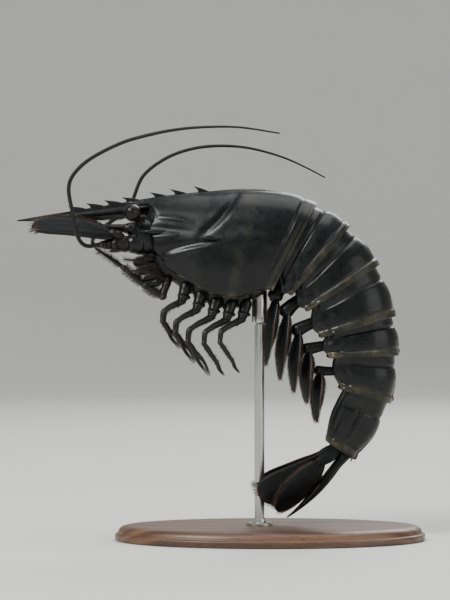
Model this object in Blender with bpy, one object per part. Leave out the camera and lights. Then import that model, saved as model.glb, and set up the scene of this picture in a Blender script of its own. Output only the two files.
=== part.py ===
"""Black tiger prawn, life size, as a still model on a display stand.

The prawn heads towards -X, so its left side faces -Y, and +Z is up. The origin is the
centre of the stand's underside. Sizes are in millimetres, and become metres in mesh_object.
"""

import math
from typing import NamedTuple

import bmesh
import bpy
from mathutils import Vector

MM = 0.001
GAP = 0.3  # kept between nodes that touch
WELD = 0.001  # points closer than this are one point
SIDES = {"left": -1.0, "right": 1.0}


class Section(NamedTuple):
    """A cross-section of the trunk, which hangs from a point on the line of the back."""

    x: float
    z: float
    pitch: float  # degrees that the body runs below the horizontal, towards the tail
    depth: float  # back to belly
    half_width: float

    def axis(self):
        angle = math.radians(self.pitch)
        return Vector((math.cos(angle), 0.0, -math.sin(angle)))

    def down(self):
        angle = math.radians(self.pitch)
        return Vector((-math.sin(angle), 0.0, -math.cos(angle)))

    def at(self, drop, side=0.0, along=0.0):
        """The point that far below the back, to the side, and on towards the tail."""
        back = Vector((self.x, side, self.z))
        return back + self.down() * drop + self.axis() * along

    def mixed(self, other, share):
        return Section(*(a + (b - a) * share for a, b in zip(self, other)))


# The trunk, from the orbit to the tail fan.
CARAPACE = (
    Section(-49.2, 135.6, -9.0, 24.6, 9.4),
    Section(-44.0, 136.6, -7.0, 28.6, 10.8),
    Section(-35.2, 137.8, -3.0, 33.8, 12.6),
    Section(-24.0, 139.0, 4.0, 39.2, 14.4),
    Section(-12.8, 140.0, 9.0, 43.2, 15.3),
    Section(-2.0, 140.0, 15.0, 44.8, 15.5),
    Section(8.8, 138.6, 22.0, 42.8, 15.0),
    Section(17.6, 135.4, 27.0, 39.6, 14.2),
)
JOINTS = (
    Section(17.6, 135.0, 27.0, 38.0, 13.5),
    Section(30.8, 126.4, 40.0, 37.2, 13.4),
    Section(42.8, 111.2, 57.0, 35.2, 13.0),
    Section(49.6, 90.8, 74.0, 32.0, 12.0),
    Section(51.0, 75.2, 88.0, 28.8, 10.8),
    Section(48.4, 56.0, 106.0, 22.0, 9.2),
    Section(33.2, 32.6, 125.0, 13.6, 5.6),
)
ORBIT = CARAPACE[0]
TAIL_SHAPE_FROM = 3  # the station from which the carapace turns to the tail's outline

# Half outlines of a section, as shares of half width and depth, from back to belly.
CARAPACE_OUTLINE = (
    (0.0, 0.0), (0.2, 0.022), (0.42, 0.085), (0.63, 0.19), (0.8, 0.33), (0.93, 0.49),
    (1.0, 0.65), (0.985, 0.81), (0.9, 0.94), (0.78, 1.0), (0.66, 0.97), (0.5, 0.87), (0.0, 0.84),
)  # fmt: skip
SOMITE_OUTLINE = (
    (0.0, 0.0), (0.3, 0.02), (0.57, 0.085), (0.79, 0.19), (0.94, 0.33), (1.0, 0.49),
    (0.99, 0.66), (0.96, 0.82), (0.9, 0.94), (0.8, 1.0), (0.68, 0.965), (0.42, 0.81), (0.0, 0.78),
)  # fmt: skip
LAST_OUTLINE = (
    (0.0, 0.0), (0.34, 0.03), (0.64, 0.11), (0.86, 0.25), (0.98, 0.42), (1.0, 0.58),
    (0.96, 0.73), (0.86, 0.86), (0.72, 0.95), (0.55, 1.0), (0.42, 0.98), (0.28, 0.95), (0.0, 0.94),
)  # fmt: skip
HEM_FROM = 0.5  # share of the depth below which a side plate's edge is scalloped

# Along one somite: its share of the length, the section's scale there, and the side plate's drop.
SOMITE_STEPS = (
    (0.0, 0.93, 0.78), (0.36, 0.94, 0.95), (0.58, 0.985, 1.0), (0.82, 1.01, 0.98), (1.0, 1.03, 0.92),
)  # fmt: skip
SOMITE_BOWS = (1.2, 1.4, 1.3, 0.9, 1.0, 2.2)  # how far each back bulges between its joints
KEELS = (0.0, 0.0, 0.3, 0.7, 0.8, 1.0)  # height of the ridge along each back's middle
KEEL_FROM = 0.36  # share of a somite's length at which its ridge starts
LIP_REACH = 1.4  # how far a plate's rear rim overlaps the next plate
LIP_INSIDE = 0.975  # scale of the rim's inner side
RIM_SCALE = 1.035
RIM_HEM = 0.98  # the carapace's side edge at its rear, as a share of its drop
CARAPACE_SPINES = ((1, 0.6, 0.9, 5.4), (3, 0.47, 0.88, 3.6))  # station, drop, side, reach
SPINE_SPREAD = Vector((0.0, 1.5, 0.2))  # from a spine's root to its tip, besides its reach
SPINE_RADIUS = 0.8
THORN_WAIST = (0.6, 0.55)  # share of a thorn's length, and of its root's radius there
THORN_TIP = 0.12

# Rostrum: a tall thin blade with teeth above and below.
ROSTRUM_TIP = Vector((-101.2, 0.0, 128.0))
ROSTRUM_DEPTH = 5.6
ROSTRUM_THICK = 2.8
ROSTRUM_EDGE = (0.6, 0.25)  # depth and half thickness left at the tip
ROSTRUM_OUTLINE = ((0.0, 0.0), (0.34, 0.12), (1.0, 0.5), (0.36, 0.86), (0.0, 1.0))
ROSTRUM_STEPS = 9
DORSAL_TEETH = (0.06, 0.2, 0.34, 0.48)  # shares of the rostrum's length
VENTRAL_TEETH = (0.5, 0.63, 0.76)
CREST_TEETH = (-46.0, -38.0, -29.0)  # x of the teeth on the carapace, behind the orbit
TOOTH_BASE = 5.0
TOOTH_HEIGHT = 2.0
TOOTH_SINK = 0.9  # how deep a tooth's base lies in the blade
TOOTH_LEAN = 0.8  # how far its tip leans on past its base
TOOTH_THICK = 0.9
VENTRAL_SHARE = 0.8  # a lower tooth's size, to an upper one's

# Head between the eyes, and the belly plate that carries the legs.
HEAD_STEPS = ((0.3, 0.94), (3.0, 1.0), (6.0, 0.88), (8.0, 0.55))  # reach forward, scale
HEAD_TOP, HEAD_BOTTOM = 6.6, 21.6  # drops below the orbit's back point
HEAD_HALF_WIDTH = 7.6
HEAD_SIDES = 12
HEAD_POWER = 0.7  # below 1 the ring is squarer than an ellipse
STUB_LENGTH = 5.0
STUB_FLARE = 1.08
MOUTH_LOBES = (  # middle: to the side, ahead and below the head; half sizes
    (0.0, 3.4, 3.5, Vector((4.6, 3.0, 3.0))),
    (-1.5, 1.2, 5.8, Vector((4.2, 1.7, 3.0))),
    (1.5, 1.2, 5.8, Vector((4.2, 1.7, 3.0))),
    (-1.4, -1.2, 8.0, Vector((3.4, 1.6, 2.8))),
    (1.4, -1.2, 8.0, Vector((3.4, 1.6, 2.8))),
)
THORAX_BELLY = ((0.85, 1.6), (0.5, 0.2))  # share of its half width, and rise there over the keel
THORAX_INSET = 0.35  # kept from the inner side of the carapace's hems
THORAX_ROOM = 0.4  # kept from the carapace's underside, which bends between the stations
THORAX_STATIONS = (1.0, 2.0, 3.0, 4.0, 5.0, 6.0, 6.8)
THORAX_KEELS = (4.0, 5.0, 5.0, 5.0, 5.0, 5.0, 1.8)  # how far the belly plate hangs below the hems

EYE_CENTRE = Vector((-54.8, 10.8, 130.6))
EYE_RADIUS = 3.3
EYE_CUT = 0.62  # share of the radius at which the cornea meets its stalk
STALK_ROOT = Vector((-52.2, 6.0, 127.4))
STALK_RADII = (1.6, 1.8, 2.35)

ANTENNULE_ROOT = Vector((-57.8, 2.7, 124.6))
ANTENNULE_JOINTS = ((0, 0, 0), (-7.0, 0.3, 0.4), (-12.0, 0.5, 0.7), (-16.5, 0.7, 0.9))
ANTENNULE_RADII = (1.8, 1.45, 1.35, 1.1)
ANTENNULE_FLAGELLA = ((1.9, 1.4, 15.0), (-1.6, 0.4, 13.0))  # lift, spread and reach
# Shares of the peduncle's radius that a flagellum's root sinks in it, and of its lift that its
# root and its middle rise.
FLAGELLUM_SINK, FLAGELLUM_LIFT, FLAGELLUM_BOW = 0.7, 0.16, 0.35
FLAGELLUM_RADII = (0.62, 0.32)
ANTENNA_ROOT = Vector((-57.0, 5.4, 118.4))
ANTENNA_JOINTS = ((0, 0, 0), (-5.2, 1.9, -0.2), (-9.8, 3.2, -0.4))
ANTENNA_RADII = (3.1, 3.5, 2.7, 1.9, 1.6)
ANTENNA_WAISTS = (0.55, 0.3)  # shares of its two lengths at which the peduncle's girth is given
SCALE_ROOT = Vector((-62.6, 8.0, 122.6))
SCALE_SPAN = Vector((-32.0, 0.8, 3.8))
SCALE_HALF_WIDTH = 4.9
SCALE_THICK = 0.9
SCALE_BOSS = 1.7  # radius of the boss that it stands on
SCALE_TILT = 44.0  # degrees that its outer edge hangs
SCALE_OUTLINE = ((0.0, 0.42), (0.18, 0.82), (0.5, 1.0), (0.8, 0.86), (1.0, 0.3))
SCALE_RIB = 0.45
SCALE_SPINE = (0.84, 1.02, 0.8, 0.6)  # from, to, share of the half width, share of the thickness
SCALE_STEPS, SCALE_COLUMNS, SCALE_RIB_AT = 8, 5, 4
SCALE_CAMBER = 0.7

# The long feelers sweep out past the scales, up, and back over the body.
FEELERS = {
    "left": (
        Vector((-72.0, 11.4, 117.0)), Vector((-75.0, 14.4, 118.6)), Vector((-76.6, 16.6, 123.2)),
        Vector((-77.6, 17.9, 129.2)), Vector((-79.4, 19.4, 138.8)), Vector((-78.0, 20.4, 144.4)),
        Vector((-71.4, 21.8, 150.8)), Vector((-59.4, 23.2, 157.0)), Vector((-49.6, 24.0, 160.0)),
        Vector((-37.6, 25.0, 162.4)), Vector((-25.6, 26.0, 163.4)), Vector((-12.0, 27.2, 163.2)),
        Vector((3.2, 28.6, 160.8)),
    ),
    "right": (
        Vector((-71.4, 11.8, 118.2)), Vector((-71.8, 14.8, 120.6)), Vector((-68.8, 17.6, 124.8)),
        Vector((-62.6, 19.4, 129.2)), Vector((-56.8, 20.6, 134.4)), Vector((-54.4, 21.4, 140.4)),
        Vector((-52.0, 22.2, 146.2)), Vector((-46.4, 23.4, 151.4)), Vector((-37.6, 24.6, 156.2)),
        Vector((-25.6, 25.8, 159.0)), Vector((-10.4, 27.0, 158.8)), Vector((4.4, 28.0, 155.2)),
        Vector((15.2, 28.8, 150.6)), Vector((23.2, 29.4, 146.4)),
    ),
}  # fmt: skip
FEELER_RADII = (0.85, 0.45)
FEELER_LENGTHS = 3
FEELER_STRAIGHT = 2.2  # before its first bend
FEELER_GAP = 0.42  # along the path at a feeler's joints, whose rings stand a little askew

MAXILLIPED_POINTS = (
    Vector((-41.6, 4.6, 101.6)),
    Vector((-43.0, 5.6, 97.6)),
    Vector((-50.0, 5.6, 101.8)),
    Vector((-58.6, 5.0, 109.0)),
    Vector((-69.6, 4.2, 116.6)),
)
MAXILLIPED_RADII = (1.9, 1.8, 1.6, 1.25, 0.3)

# Walking legs: the root and the size of each pair.
LEG_ROOTS = (
    Vector((-34.4, 6.2, 98.6)),
    Vector((-28.4, 6.4, 95.4)),
    Vector((-22.4, 6.6, 93.0)),
    Vector((-16.4, 6.6, 91.8)),
    Vector((-10.4, 6.4, 91.8)),
)
LEG_SCALES = (0.86, 0.96, 1.06, 1.02, 0.98)
CHELATE_LEGS = 3  # the pairs that end in pincers
LEG_JOINTS = (  # from the root, for a leg of scale 1: forward, out and down
    Vector((0.0, 0.0, 0.0)),
    Vector((-1.0, 1.2, -3.6)),
    Vector((-9.4, 6.6, -8.6)),
    Vector((-9.8, 7.6, -13.0)),
    Vector((-4.4, 7.0, -21.0)),
    Vector((-1.6, 6.0, -25.4)),
)
LEG_RADII = (2.1, 1.8, 1.3, 1.05, 0.8, 0.3)
PALM_SHARE = 0.62  # of the way down a pincer leg's last length
PALM_RADIUS = 1.05
FINGER_ELBOW = 0.45  # share of the way from the palm to the pincer's tip
FINGER_RADII = (0.6, 0.5, 0.25)
FINGER_SPREADS = (0.5, 0.78, 0.28)  # from the pincer's middle line, at root, elbow and tip

BASE_HALF = (62.0, 38.0)
BASE_THICK = 6.0
BASE_BEVEL = 1.6
BASE_SIDES, ROD_SIDES = 56, 20
ROD_X = -4.2
ROD_RADIUS = 2.0
COLLAR_RADIUS = 3.0
COLLAR_LOW = 91.0  # height of the flat that the rod meets under the body
COLLAR_HEIGHT = 9.0

# Swimming legs, on somites 1 to 5.
PLEOPOD_PLACE = 0.56  # share of the somite's length
PLEOPOD_HIP_DROP, PLEOPOD_HIP_GAP = 0.78, 1.4  # share of its depth, and more below that
PLEOPOD_HIP_SIDE = 0.25  # share of the somite's half width
PLEOPOD_KNEE = Vector((-1.0, 0.5, -1.0))  # besides the shaft's length straight down
PLEOPOD_THICK = 0.15  # shaft's radius, the same way
PLEOPOD_SOCKET = 3.0
PLEOPOD_SWELL = ((0.0, 1.0), (0.6, 1.05), (1.0, 0.8))  # shaft's girth along it
# Out, ahead, length share, half width and bow of the outer and the inner leaf.
PLEOPOD_RAMI = ((1.2, 0.0, 1.0, 2.8, -1.0), (-2.0, 1.4, 0.74, 2.2, 0.5))
RAMUS_ROOT = (0.14, 0.4)  # shares of the shaft and of its way out where a leaf starts
RAMUS_THICK = 0.9
RAMUS_MIDDLE, RAMUS_RIM = 1.25, 0.65  # shares of its thickness
RAMUS_ACROSS = Vector((0.62, 0.78, 0.0))
RAMUS_STEPS, RAMUS_COLUMNS = 5, 4
PLEOPOD_SHAFTS = (9.0, 11.0, 11.5, 11.0, 9.5)
PLEOPOD_TIPS = (
    Vector((-1.6, 9.6, 70.4)),
    Vector((4.0, 9.8, 64.6)),
    Vector((9.4, 9.8, 59.6)),
    Vector((14.6, 9.4, 55.2)),
    Vector((18.4, 8.6, 47.6)),
)
PLEOPOD_RAMUS_OUTLINE = ((0.0, 0.5), (0.3, 1.0), (0.6, 0.9), (0.85, 0.55), (1.0, 0.16))

# Tail fan: blades lie on a cone, whose line runs from FAN_START at FAN_PITCH.
FAN_START = Vector((22.4, 0.0, 38.8))
FAN_PITCH = 142.0
FAN_LENGTH = 32.0
# The cone's radius at its start, and by how much it swells, along that much of a sine's wave.
FAN_RADIUS, FAN_SWELL, FAN_WAVE = 7.4, 4.8, 1.9
FAN_TIP = 0.5  # least thickness
FAN_MIDDLE, FAN_RIM = 1.1, 0.7  # shares of a blade's thickness
RIDGE_FADES = 0.7  # share of its height that a ridge loses by the tip
FAN_STEPS = 7
LAYER = 1.6  # between the layers of blades
TELSON_OUTLINE = ((0.0, 0.9), (0.3, 1.0), (0.7, 0.66), (1.0, 0.12))
EXOPOD_OUTLINE = ((0.0, 0.34), (0.25, 0.6), (0.55, 0.88), (0.78, 1.0), (1.0, 0.4))
ENDOPOD_OUTLINE = ((0.0, 0.34), (0.25, 0.8), (0.55, 1.0), (0.82, 0.82), (1.0, 0.3))
TELSON_RIDGES = (0.0, 0.0, 0.5, 0.0, 0.5, 0.0, 0.0)
BLADE_RIDGES = (0.0, 0.0, 0.0, 0.5, 0.0, 0.0, 0.3)
UROPOD_HIP = (0.6, 3.0, 0.4)  # drop share, side and reach behind the last somite
UROPOD_HEEL = (0.6, 3.0, 1.8)
TELSON_ROOT = (0.9, 5.0, 3.8)  # outer and inner drop, and half width, on the last somite's end
UROPOD_KNEE = (6.6, 65.0, -0.4)  # reach, degrees and layer on the cone
UROPOD_RADII = (2.5, 2.7, 2.9, 2.1)


class Blade(NamedTuple):
    """A blade of the fan, by its place on the cone."""

    first: float  # reach at its root
    last: float
    angle: float  # degrees round from the back
    half_width: float
    layer: float
    thick: float
    taper: float  # power by which it thins towards its tip
    turn: float = 0.0  # power by which it turns away from the stem


TELSON = Blade(1.6, 30.6, 0.0, 4.9, LAYER, 3.0, 1.8)
EXOPOD = Blade(4.4, 34.0, 87.0, 6.7, -LAYER, 1.0, 1.2, 1.0)
ENDOPOD = Blade(4.6, 32.0, 47.0, 6.9, 0.0, 1.0, 1.2, 6.0)

MATERIALS = {
    "shell": ((0.035, 0.042, 0.045), 0.32, 0.0),
    "limb": ((0.05, 0.048, 0.046), 0.42, 0.0),
    "fan": ((0.03, 0.036, 0.042), 0.36, 0.0),
    "eye": ((0.008, 0.008, 0.01), 0.08, 0.0),
    "stand_wood": ((0.32, 0.2, 0.11), 0.45, 0.0),
    "stand_metal": ((0.72, 0.72, 0.7), 0.28, 1.0),
}


def clear_scene():
    for item in list(bpy.data.objects):
        bpy.data.objects.remove(item)


def group(name):
    """The empty that carries the nodes of one group."""
    found = bpy.data.objects.get(name)
    if not found:
        found = bpy.data.objects.new(name, None)
        bpy.context.scene.collection.objects.link(found)
    return found


def material(name):
    found = bpy.data.materials.get(name)
    if found:
        return found
    colour, roughness, metallic = MATERIALS[name]
    made = bpy.data.materials.new(name)
    made.use_nodes = True
    shader = made.node_tree.nodes["Principled BSDF"]
    shader.inputs["Base Color"].default_value = (*colour, 1.0)
    shader.inputs["Roughness"].default_value = roughness
    shader.inputs["Metallic"].default_value = metallic
    return made


def mesh_object(name, points, faces):
    """An object from points in millimetres, with its faces turned outwards."""
    shape = bmesh.new()
    corners = [shape.verts.new(point) for point in points]
    for face in faces:
        shape.faces.new([corners[index] for index in face])
    bmesh.ops.recalc_face_normals(shape, faces=shape.faces)
    return shape_object(name, shape)


def shape_object(name, shape):
    """An object from a bmesh in millimetres, which is used up."""
    bmesh.ops.scale(shape, vec=Vector((MM, MM, MM)), verts=shape.verts)
    mesh = bpy.data.meshes.new(name)
    shape.to_mesh(mesh)
    shape.free()
    made = bpy.data.objects.new(name, mesh)
    bpy.context.scene.collection.objects.link(made)
    return made


def lofted(name, rings):
    """A closed solid through rings of points. The far half of each ring is split the
    other way, so that both faces of a thin blade have the same triangles."""
    count = len(rings[0])
    points = [point for ring in rings for point in ring]
    faces = []
    for step in range(len(rings) - 1):
        for index in range(count):
            a = step * count + index
            b = step * count + (index + 1) % count
            c, d = b + count, a + count
            faces += [(a, b, c), (a, c, d)] if index < count // 2 else [(a, b, d), (b, c, d)]
    faces.append(tuple(range(count)))
    faces.append(tuple(len(points) - count + index for index in range(count)))
    return mesh_object(name, points, faces)


def fused(name, pieces, slot):
    """One node from closed pieces that overlap, as their union's largest closed surface."""
    node = pieces[0]
    if len(pieces) > 1:
        others = bpy.data.collections.new(name + "_pieces")
        bpy.context.scene.collection.children.link(others)
        for piece in pieces[1:]:
            bpy.context.scene.collection.objects.unlink(piece)
            others.objects.link(piece)
        union = node.modifiers.new("union", "BOOLEAN")
        union.operation = "UNION"
        union.operand_type = "COLLECTION"
        union.collection = others
        union.solver = "EXACT"
        graph = bpy.context.evaluated_depsgraph_get()
        joined = bpy.data.meshes.new_from_object(node.evaluated_get(graph))
        node.modifiers.clear()
        node.data = joined
        for piece in pieces[1:]:
            bpy.data.objects.remove(piece)
        bpy.data.collections.remove(others)
        keep_largest(node.data)
    return finished(node, name, slot)


def keep_largest(mesh):
    """Drops every closed surface but the largest from a mesh."""
    shape = bmesh.new()
    shape.from_mesh(mesh)
    bmesh.ops.dissolve_degenerate(shape, edges=shape.edges, dist=1e-7)
    bmesh.ops.triangulate(shape, faces=shape.faces)
    unseen, islands = set(shape.verts), []
    while unseen:
        island, edge = set(), [unseen.pop()]
        while edge:
            vertex = edge.pop()
            island.add(vertex)
            near = {link.other_vert(vertex) for link in vertex.link_edges} & unseen
            unseen -= near
            edge += near
        islands.append(island)
    islands.sort(key=len)
    for island in islands[:-1]:
        bmesh.ops.delete(shape, geom=list(island), context="VERTS")
    shape.to_mesh(mesh)
    shape.free()


def finished(node, name, slot):
    node.name = name
    node.data.name = name
    node.data.materials.clear()
    node.data.materials.append(material(slot))
    node.data.shade_smooth()
    node.data.set_sharp_from_angle(angle=math.radians(35))
    node.parent = group("stand" if name.startswith("stand_") else "prawn")
    return node


def both_sides(half):
    """A whole ring's (side, drop) pairs from a half outline that starts and ends on the middle."""
    return list(half) + [(-side, drop) for side, drop in reversed(half[1:-1])]


def blended(outline, other, share):
    """A half outline between two others."""
    return [
        (a[0] + (b[0] - a[0]) * share, a[1] + (b[1] - a[1]) * share)
        for a, b in zip(outline, other)
    ]


def trunk_ring(section, outline, scale=1.0, hem=1.0, along=0.0, bow=0.0, keel=0.0):
    """The outline at a section, scaled about its middle, with its side plates cut to hem,
    its back raised by bow, and the back's middle line by keel."""
    middle = section.depth / 2
    ring = []
    for side, drop in both_sides(outline):
        cut = drop if drop < HEM_FROM else HEM_FROM + (drop - HEM_FROM) * hem
        height = middle + (cut * section.depth - middle) * scale
        height -= bow * max(0.0, 1 - 2 * drop) + (keel if side == 0 and drop < HEM_FROM else 0.0)
        ring.append(section.at(height, side * section.half_width * scale, along))
    return ring


def rounded_path(points, radii, trim=0.26, steps=2):
    """A path with its corners turned to short curves, as (point, radius) pairs."""
    path = [(points[0], radii[0])]
    for index in range(1, len(points) - 1):
        before, here, after = points[index - 1], points[index], points[index + 1]
        start, end = here.lerp(before, trim), here.lerp(after, trim)
        radius_in = radii[index] + (radii[index - 1] - radii[index]) * trim
        radius_out = radii[index] + (radii[index + 1] - radii[index]) * trim
        for step in range(steps):
            share = step / (steps - 1)
            bend = start.lerp(here, share).lerp(here.lerp(end, share), share)
            path.append((bend, radius_in + (radius_out - radius_in) * share))
    path.append((points[-1], radii[-1]))
    return path


def smooth_path(points, steps):
    """A smooth curve through points, with that many steps between each two."""
    ends = [points[0] * 2 - points[1], *points, points[-1] * 2 - points[-2]]
    curve = []
    for index in range(1, len(ends) - 2):
        p, q, r, s = ends[index - 1 : index + 3]
        for step in range(steps):
            t = step / steps
            curve.append(
                0.5 * (2 * q + (r - p) * t + (2 * p - 5 * q + 4 * r - s) * t * t
                       + (3 * q - p - 3 * r + s) * t**3)
            )  # fmt: skip
    curve.append(points[-1].copy())
    return curve


def tube(name, path, sides=8):
    """A closed tube along (point, radius) pairs, from a bevelled curve with filled ends."""
    curve = bpy.data.curves.new(name, "CURVE")
    curve.dimensions = "3D"
    curve.bevel_depth = MM
    curve.bevel_resolution = sides // 2 - 2
    curve.use_fill_caps = True
    spline = curve.splines.new("POLY")
    spline.points.add(len(path) - 1)
    for knot, (point, radius) in zip(spline.points, path):
        knot.co = (*(point * MM), 1.0)
        knot.radius = radius
    line = bpy.data.objects.new(name, curve)
    bpy.context.scene.collection.objects.link(line)
    graph = bpy.context.evaluated_depsgraph_get()
    mesh = bpy.data.meshes.new_from_object(line.evaluated_get(graph))
    bpy.data.objects.remove(line)
    bpy.data.curves.remove(curve)
    shape = bmesh.new()
    shape.from_mesh(mesh)
    bpy.data.meshes.remove(mesh)
    bmesh.ops.scale(shape, vec=Vector((1, 1, 1)) / MM, verts=shape.verts)
    bmesh.ops.remove_doubles(shape, verts=shape.verts, dist=WELD)
    return shape_object(name, shape)


def stub(points, radius, length=STUB_LENGTH):
    """The socket end that a limb along points starts from, a gap short of its first point."""
    run = (points[1] - points[0]).normalized()
    end = points[0] - run * GAP
    return tube("stub", [(end - run * length, radius * STUB_FLARE), (end, radius)])


def tapered(curve, radii):
    """A path's points with radii that change evenly from the first to the last."""
    last = len(curve) - 1
    return [(point, radii[0] + (radii[1] - radii[0]) * i / last) for i, point in enumerate(curve)]


def between(pairs, share):
    """The value at a share along (share, value) pairs, eased between them."""
    for (a, low), (b, high) in zip(pairs, pairs[1:]):
        if share <= b:
            t = (share - a) / (b - a)
            return low + (high - low) * t * t * (3 - 2 * t)
    return pairs[-1][1]


def tooth(back, front, tip, thick=TOOTH_THICK):
    """A flat thorn whose base runs from back to front, with its tip in the middle plane."""
    half = Vector((0.0, thick / 2, 0.0))
    points = [back - half, back + half, front + half, front - half, tip]
    faces = [(0, 1, 2), (0, 2, 3), (0, 1, 4), (1, 2, 4), (2, 3, 4), (3, 0, 4)]
    return mesh_object("tooth", points, faces)


def thorn(root, tip, radius, sides=5):
    """A round spine from a root, which lies inside its node, to a fine tip."""
    share, girth = THORN_WAIST
    return tube("thorn", [(root, radius), (root.lerp(tip, share), radius * girth), (tip, THORN_TIP)], sides)


def carapace_step(station):
    """The section and outline at a station of the carapace, which may be half way to the next."""
    last = len(CARAPACE) - 1
    index = min(int(station), last - 1)
    section = CARAPACE[index].mixed(CARAPACE[index + 1], station - index)
    share = max(0.0, station - TAIL_SHAPE_FROM) / (last - TAIL_SHAPE_FROM)
    return section, blended(CARAPACE_OUTLINE, SOMITE_OUTLINE, share)


def build_carapace():
    rings = [trunk_ring(*carapace_step(step / 2)) for step in range(2 * len(CARAPACE) - 1)]
    rear = CARAPACE[-1]
    rings.append(trunk_ring(rear, SOMITE_OUTLINE, 1.0, RIM_HEM, LIP_REACH))
    rings.append(trunk_ring(rear, SOMITE_OUTLINE, LIP_INSIDE, RIM_HEM, LIP_REACH))
    rings.append(trunk_ring(rear, SOMITE_OUTLINE, LIP_INSIDE, RIM_HEM))
    pieces = [lofted("carapace", rings)]
    for x in CREST_TEETH:
        front, rear = next(pair for pair in zip(CARAPACE, CARAPACE[1:]) if x <= pair[1].x)
        base = front.mixed(rear, (x - front.x) / (rear.x - front.x))
        back = base.at(TOOTH_SINK, along=TOOTH_BASE)
        pieces.append(tooth(back, base.at(TOOTH_SINK), base.at(-TOOTH_HEIGHT, along=-TOOTH_LEAN)))
    for side in SIDES.values():
        for station, drop, out, reach in CARAPACE_SPINES:
            section = CARAPACE[station]
            root = section.at(section.depth * drop, side * section.half_width * out)
            tip = root + SPINE_SPREAD * Vector((1, side, 1)) + Vector((-reach, 0, 0))
            pieces.append(thorn(root, tip, SPINE_RADIUS))
    return fused("carapace", pieces, "shell")


def rostrum_depth(share):
    return ROSTRUM_DEPTH * (1 - share**1.5) + ROSTRUM_EDGE[0]


def build_rostrum():
    root = ORBIT.at(0.0, along=-GAP)
    rings = []
    for step in range(ROSTRUM_STEPS):
        share = step / (ROSTRUM_STEPS - 1)
        top = root.lerp(ROSTRUM_TIP, share)
        half_thick = ROSTRUM_THICK * (1 - share) / 2 + ROSTRUM_EDGE[1]
        down = (ORBIT.down() if step == 0 else Vector((0, 0, -1))) * rostrum_depth(share)
        ring = both_sides(ROSTRUM_OUTLINE)
        rings.append([top + Vector((0, side * half_thick, 0)) + down * drop for side, drop in ring])
    pieces = [lofted("rostrum", rings)]
    length = (ROSTRUM_TIP - root).length
    run = (ROSTRUM_TIP - root) / length
    up = Vector((0, 0, 1))
    for share in DORSAL_TEETH:
        back = root + run * length * share - up * TOOTH_SINK
        front = back + run * TOOTH_BASE
        tip = front + run * TOOTH_LEAN + up * (TOOTH_SINK + TOOTH_HEIGHT)
        pieces.append(tooth(back, front, tip))
    for share in VENTRAL_TEETH:
        back, front = (
            root + run * (length * share + ahead)
            + up * (TOOTH_SINK - rostrum_depth(share + ahead / length))
            for ahead in (0.0, TOOTH_BASE * VENTRAL_SHARE)
        )  # fmt: skip
        tip = front + run * TOOTH_LEAN - up * (TOOTH_SINK + TOOTH_HEIGHT * VENTRAL_SHARE)
        pieces.append(tooth(back, front, tip))
    return fused("rostrum", pieces, "shell")


def build_head():
    """The block between the eyes, with a short stub for each feeler and eye stalk."""
    rings = []
    middle, half_height = (HEAD_TOP + HEAD_BOTTOM) / 2, (HEAD_BOTTOM - HEAD_TOP) / 2
    for reach, scale in HEAD_STEPS:
        ring = []
        for index in range(HEAD_SIDES):
            side, drop = (
                math.copysign(abs(part) ** HEAD_POWER, part) * scale
                for part in (
                    math.cos(math.tau * index / HEAD_SIDES),
                    math.sin(math.tau * index / HEAD_SIDES),
                )
            )
            ring.append(ORBIT.at(middle + drop * half_height, side * HEAD_HALF_WIDTH, -reach))
        rings.append(ring)
    pieces = [lofted("head", rings)]
    for side in SIDES.values():
        pieces.append(stub(eye_line(side), STALK_RADII[0]))
        pieces.append(stub(antennule_points(side), ANTENNULE_RADII[0]))
        pieces.append(stub(antenna_points(side), ANTENNA_RADII[0]))
    return fused("head", pieces, "shell")


def build_thorax():
    """The belly plate under the carapace, with a stub for each leg and the rod's collar."""
    rings = []
    for station, keel in zip(THORAX_STATIONS, THORAX_KEELS):
        section, outline = carapace_step(station)
        roof = outline[-1][1] * section.depth + THORAX_ROOM
        eaves = outline[-2][1] * section.depth + THORAX_ROOM
        low = section.depth + keel
        wide = outline[-2][0] * section.half_width - THORAX_INSET
        half = (
            (0.0, roof), (wide, eaves), (wide, (eaves + low) / 2),
            *((wide * share, low - rise) for share, rise in THORAX_BELLY), (0.0, low),
        )  # fmt: skip
        rings.append([section.at(drop, side) for side, drop in both_sides(half)])
    pieces = [lofted("thorax", rings)]
    for side in SIDES.values():
        for pair in range(len(LEG_ROOTS)):
            pieces.append(stub(leg_points(side, pair), LEG_RADII[0]))
        pieces.append(stub(maxilliped_points(side), MAXILLIPED_RADII[0]))
    low, high = (Vector((ROD_X, 0, z)) for z in (COLLAR_LOW, COLLAR_LOW + COLLAR_HEIGHT))
    pieces.append(tube("collar", [(low, COLLAR_RADIUS), (high, COLLAR_RADIUS)], 16))
    return fused("thorax", pieces, "shell")


def maxilliped_points(side):
    return [point * Vector((1, side, 1)) for point in MAXILLIPED_POINTS]


def build_mouthparts():
    """Jaws and the leaf-like mouth limbs, as one cluster of lobes under the head."""
    floor = ORBIT.at(HEAD_BOTTOM + GAP)
    pieces = []
    for side, ahead, drop, half_size in MOUTH_LOBES:
        shape = bmesh.new()
        bmesh.ops.create_uvsphere(shape, u_segments=8, v_segments=5, radius=1.0)
        bmesh.ops.scale(shape, vec=half_size, verts=shape.verts)
        bmesh.ops.translate(shape, vec=floor + Vector((-ahead, side, -drop)), verts=shape.verts)
        pieces.append(shape_object("lobe", shape))
    return fused("mouthparts", pieces, "limb")


def eye_line(side):
    """From the root of the eye stalk to the middle of the eye."""
    return STALK_ROOT * Vector((1, side, 1)), EYE_CENTRE * Vector((1, side, 1))


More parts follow.
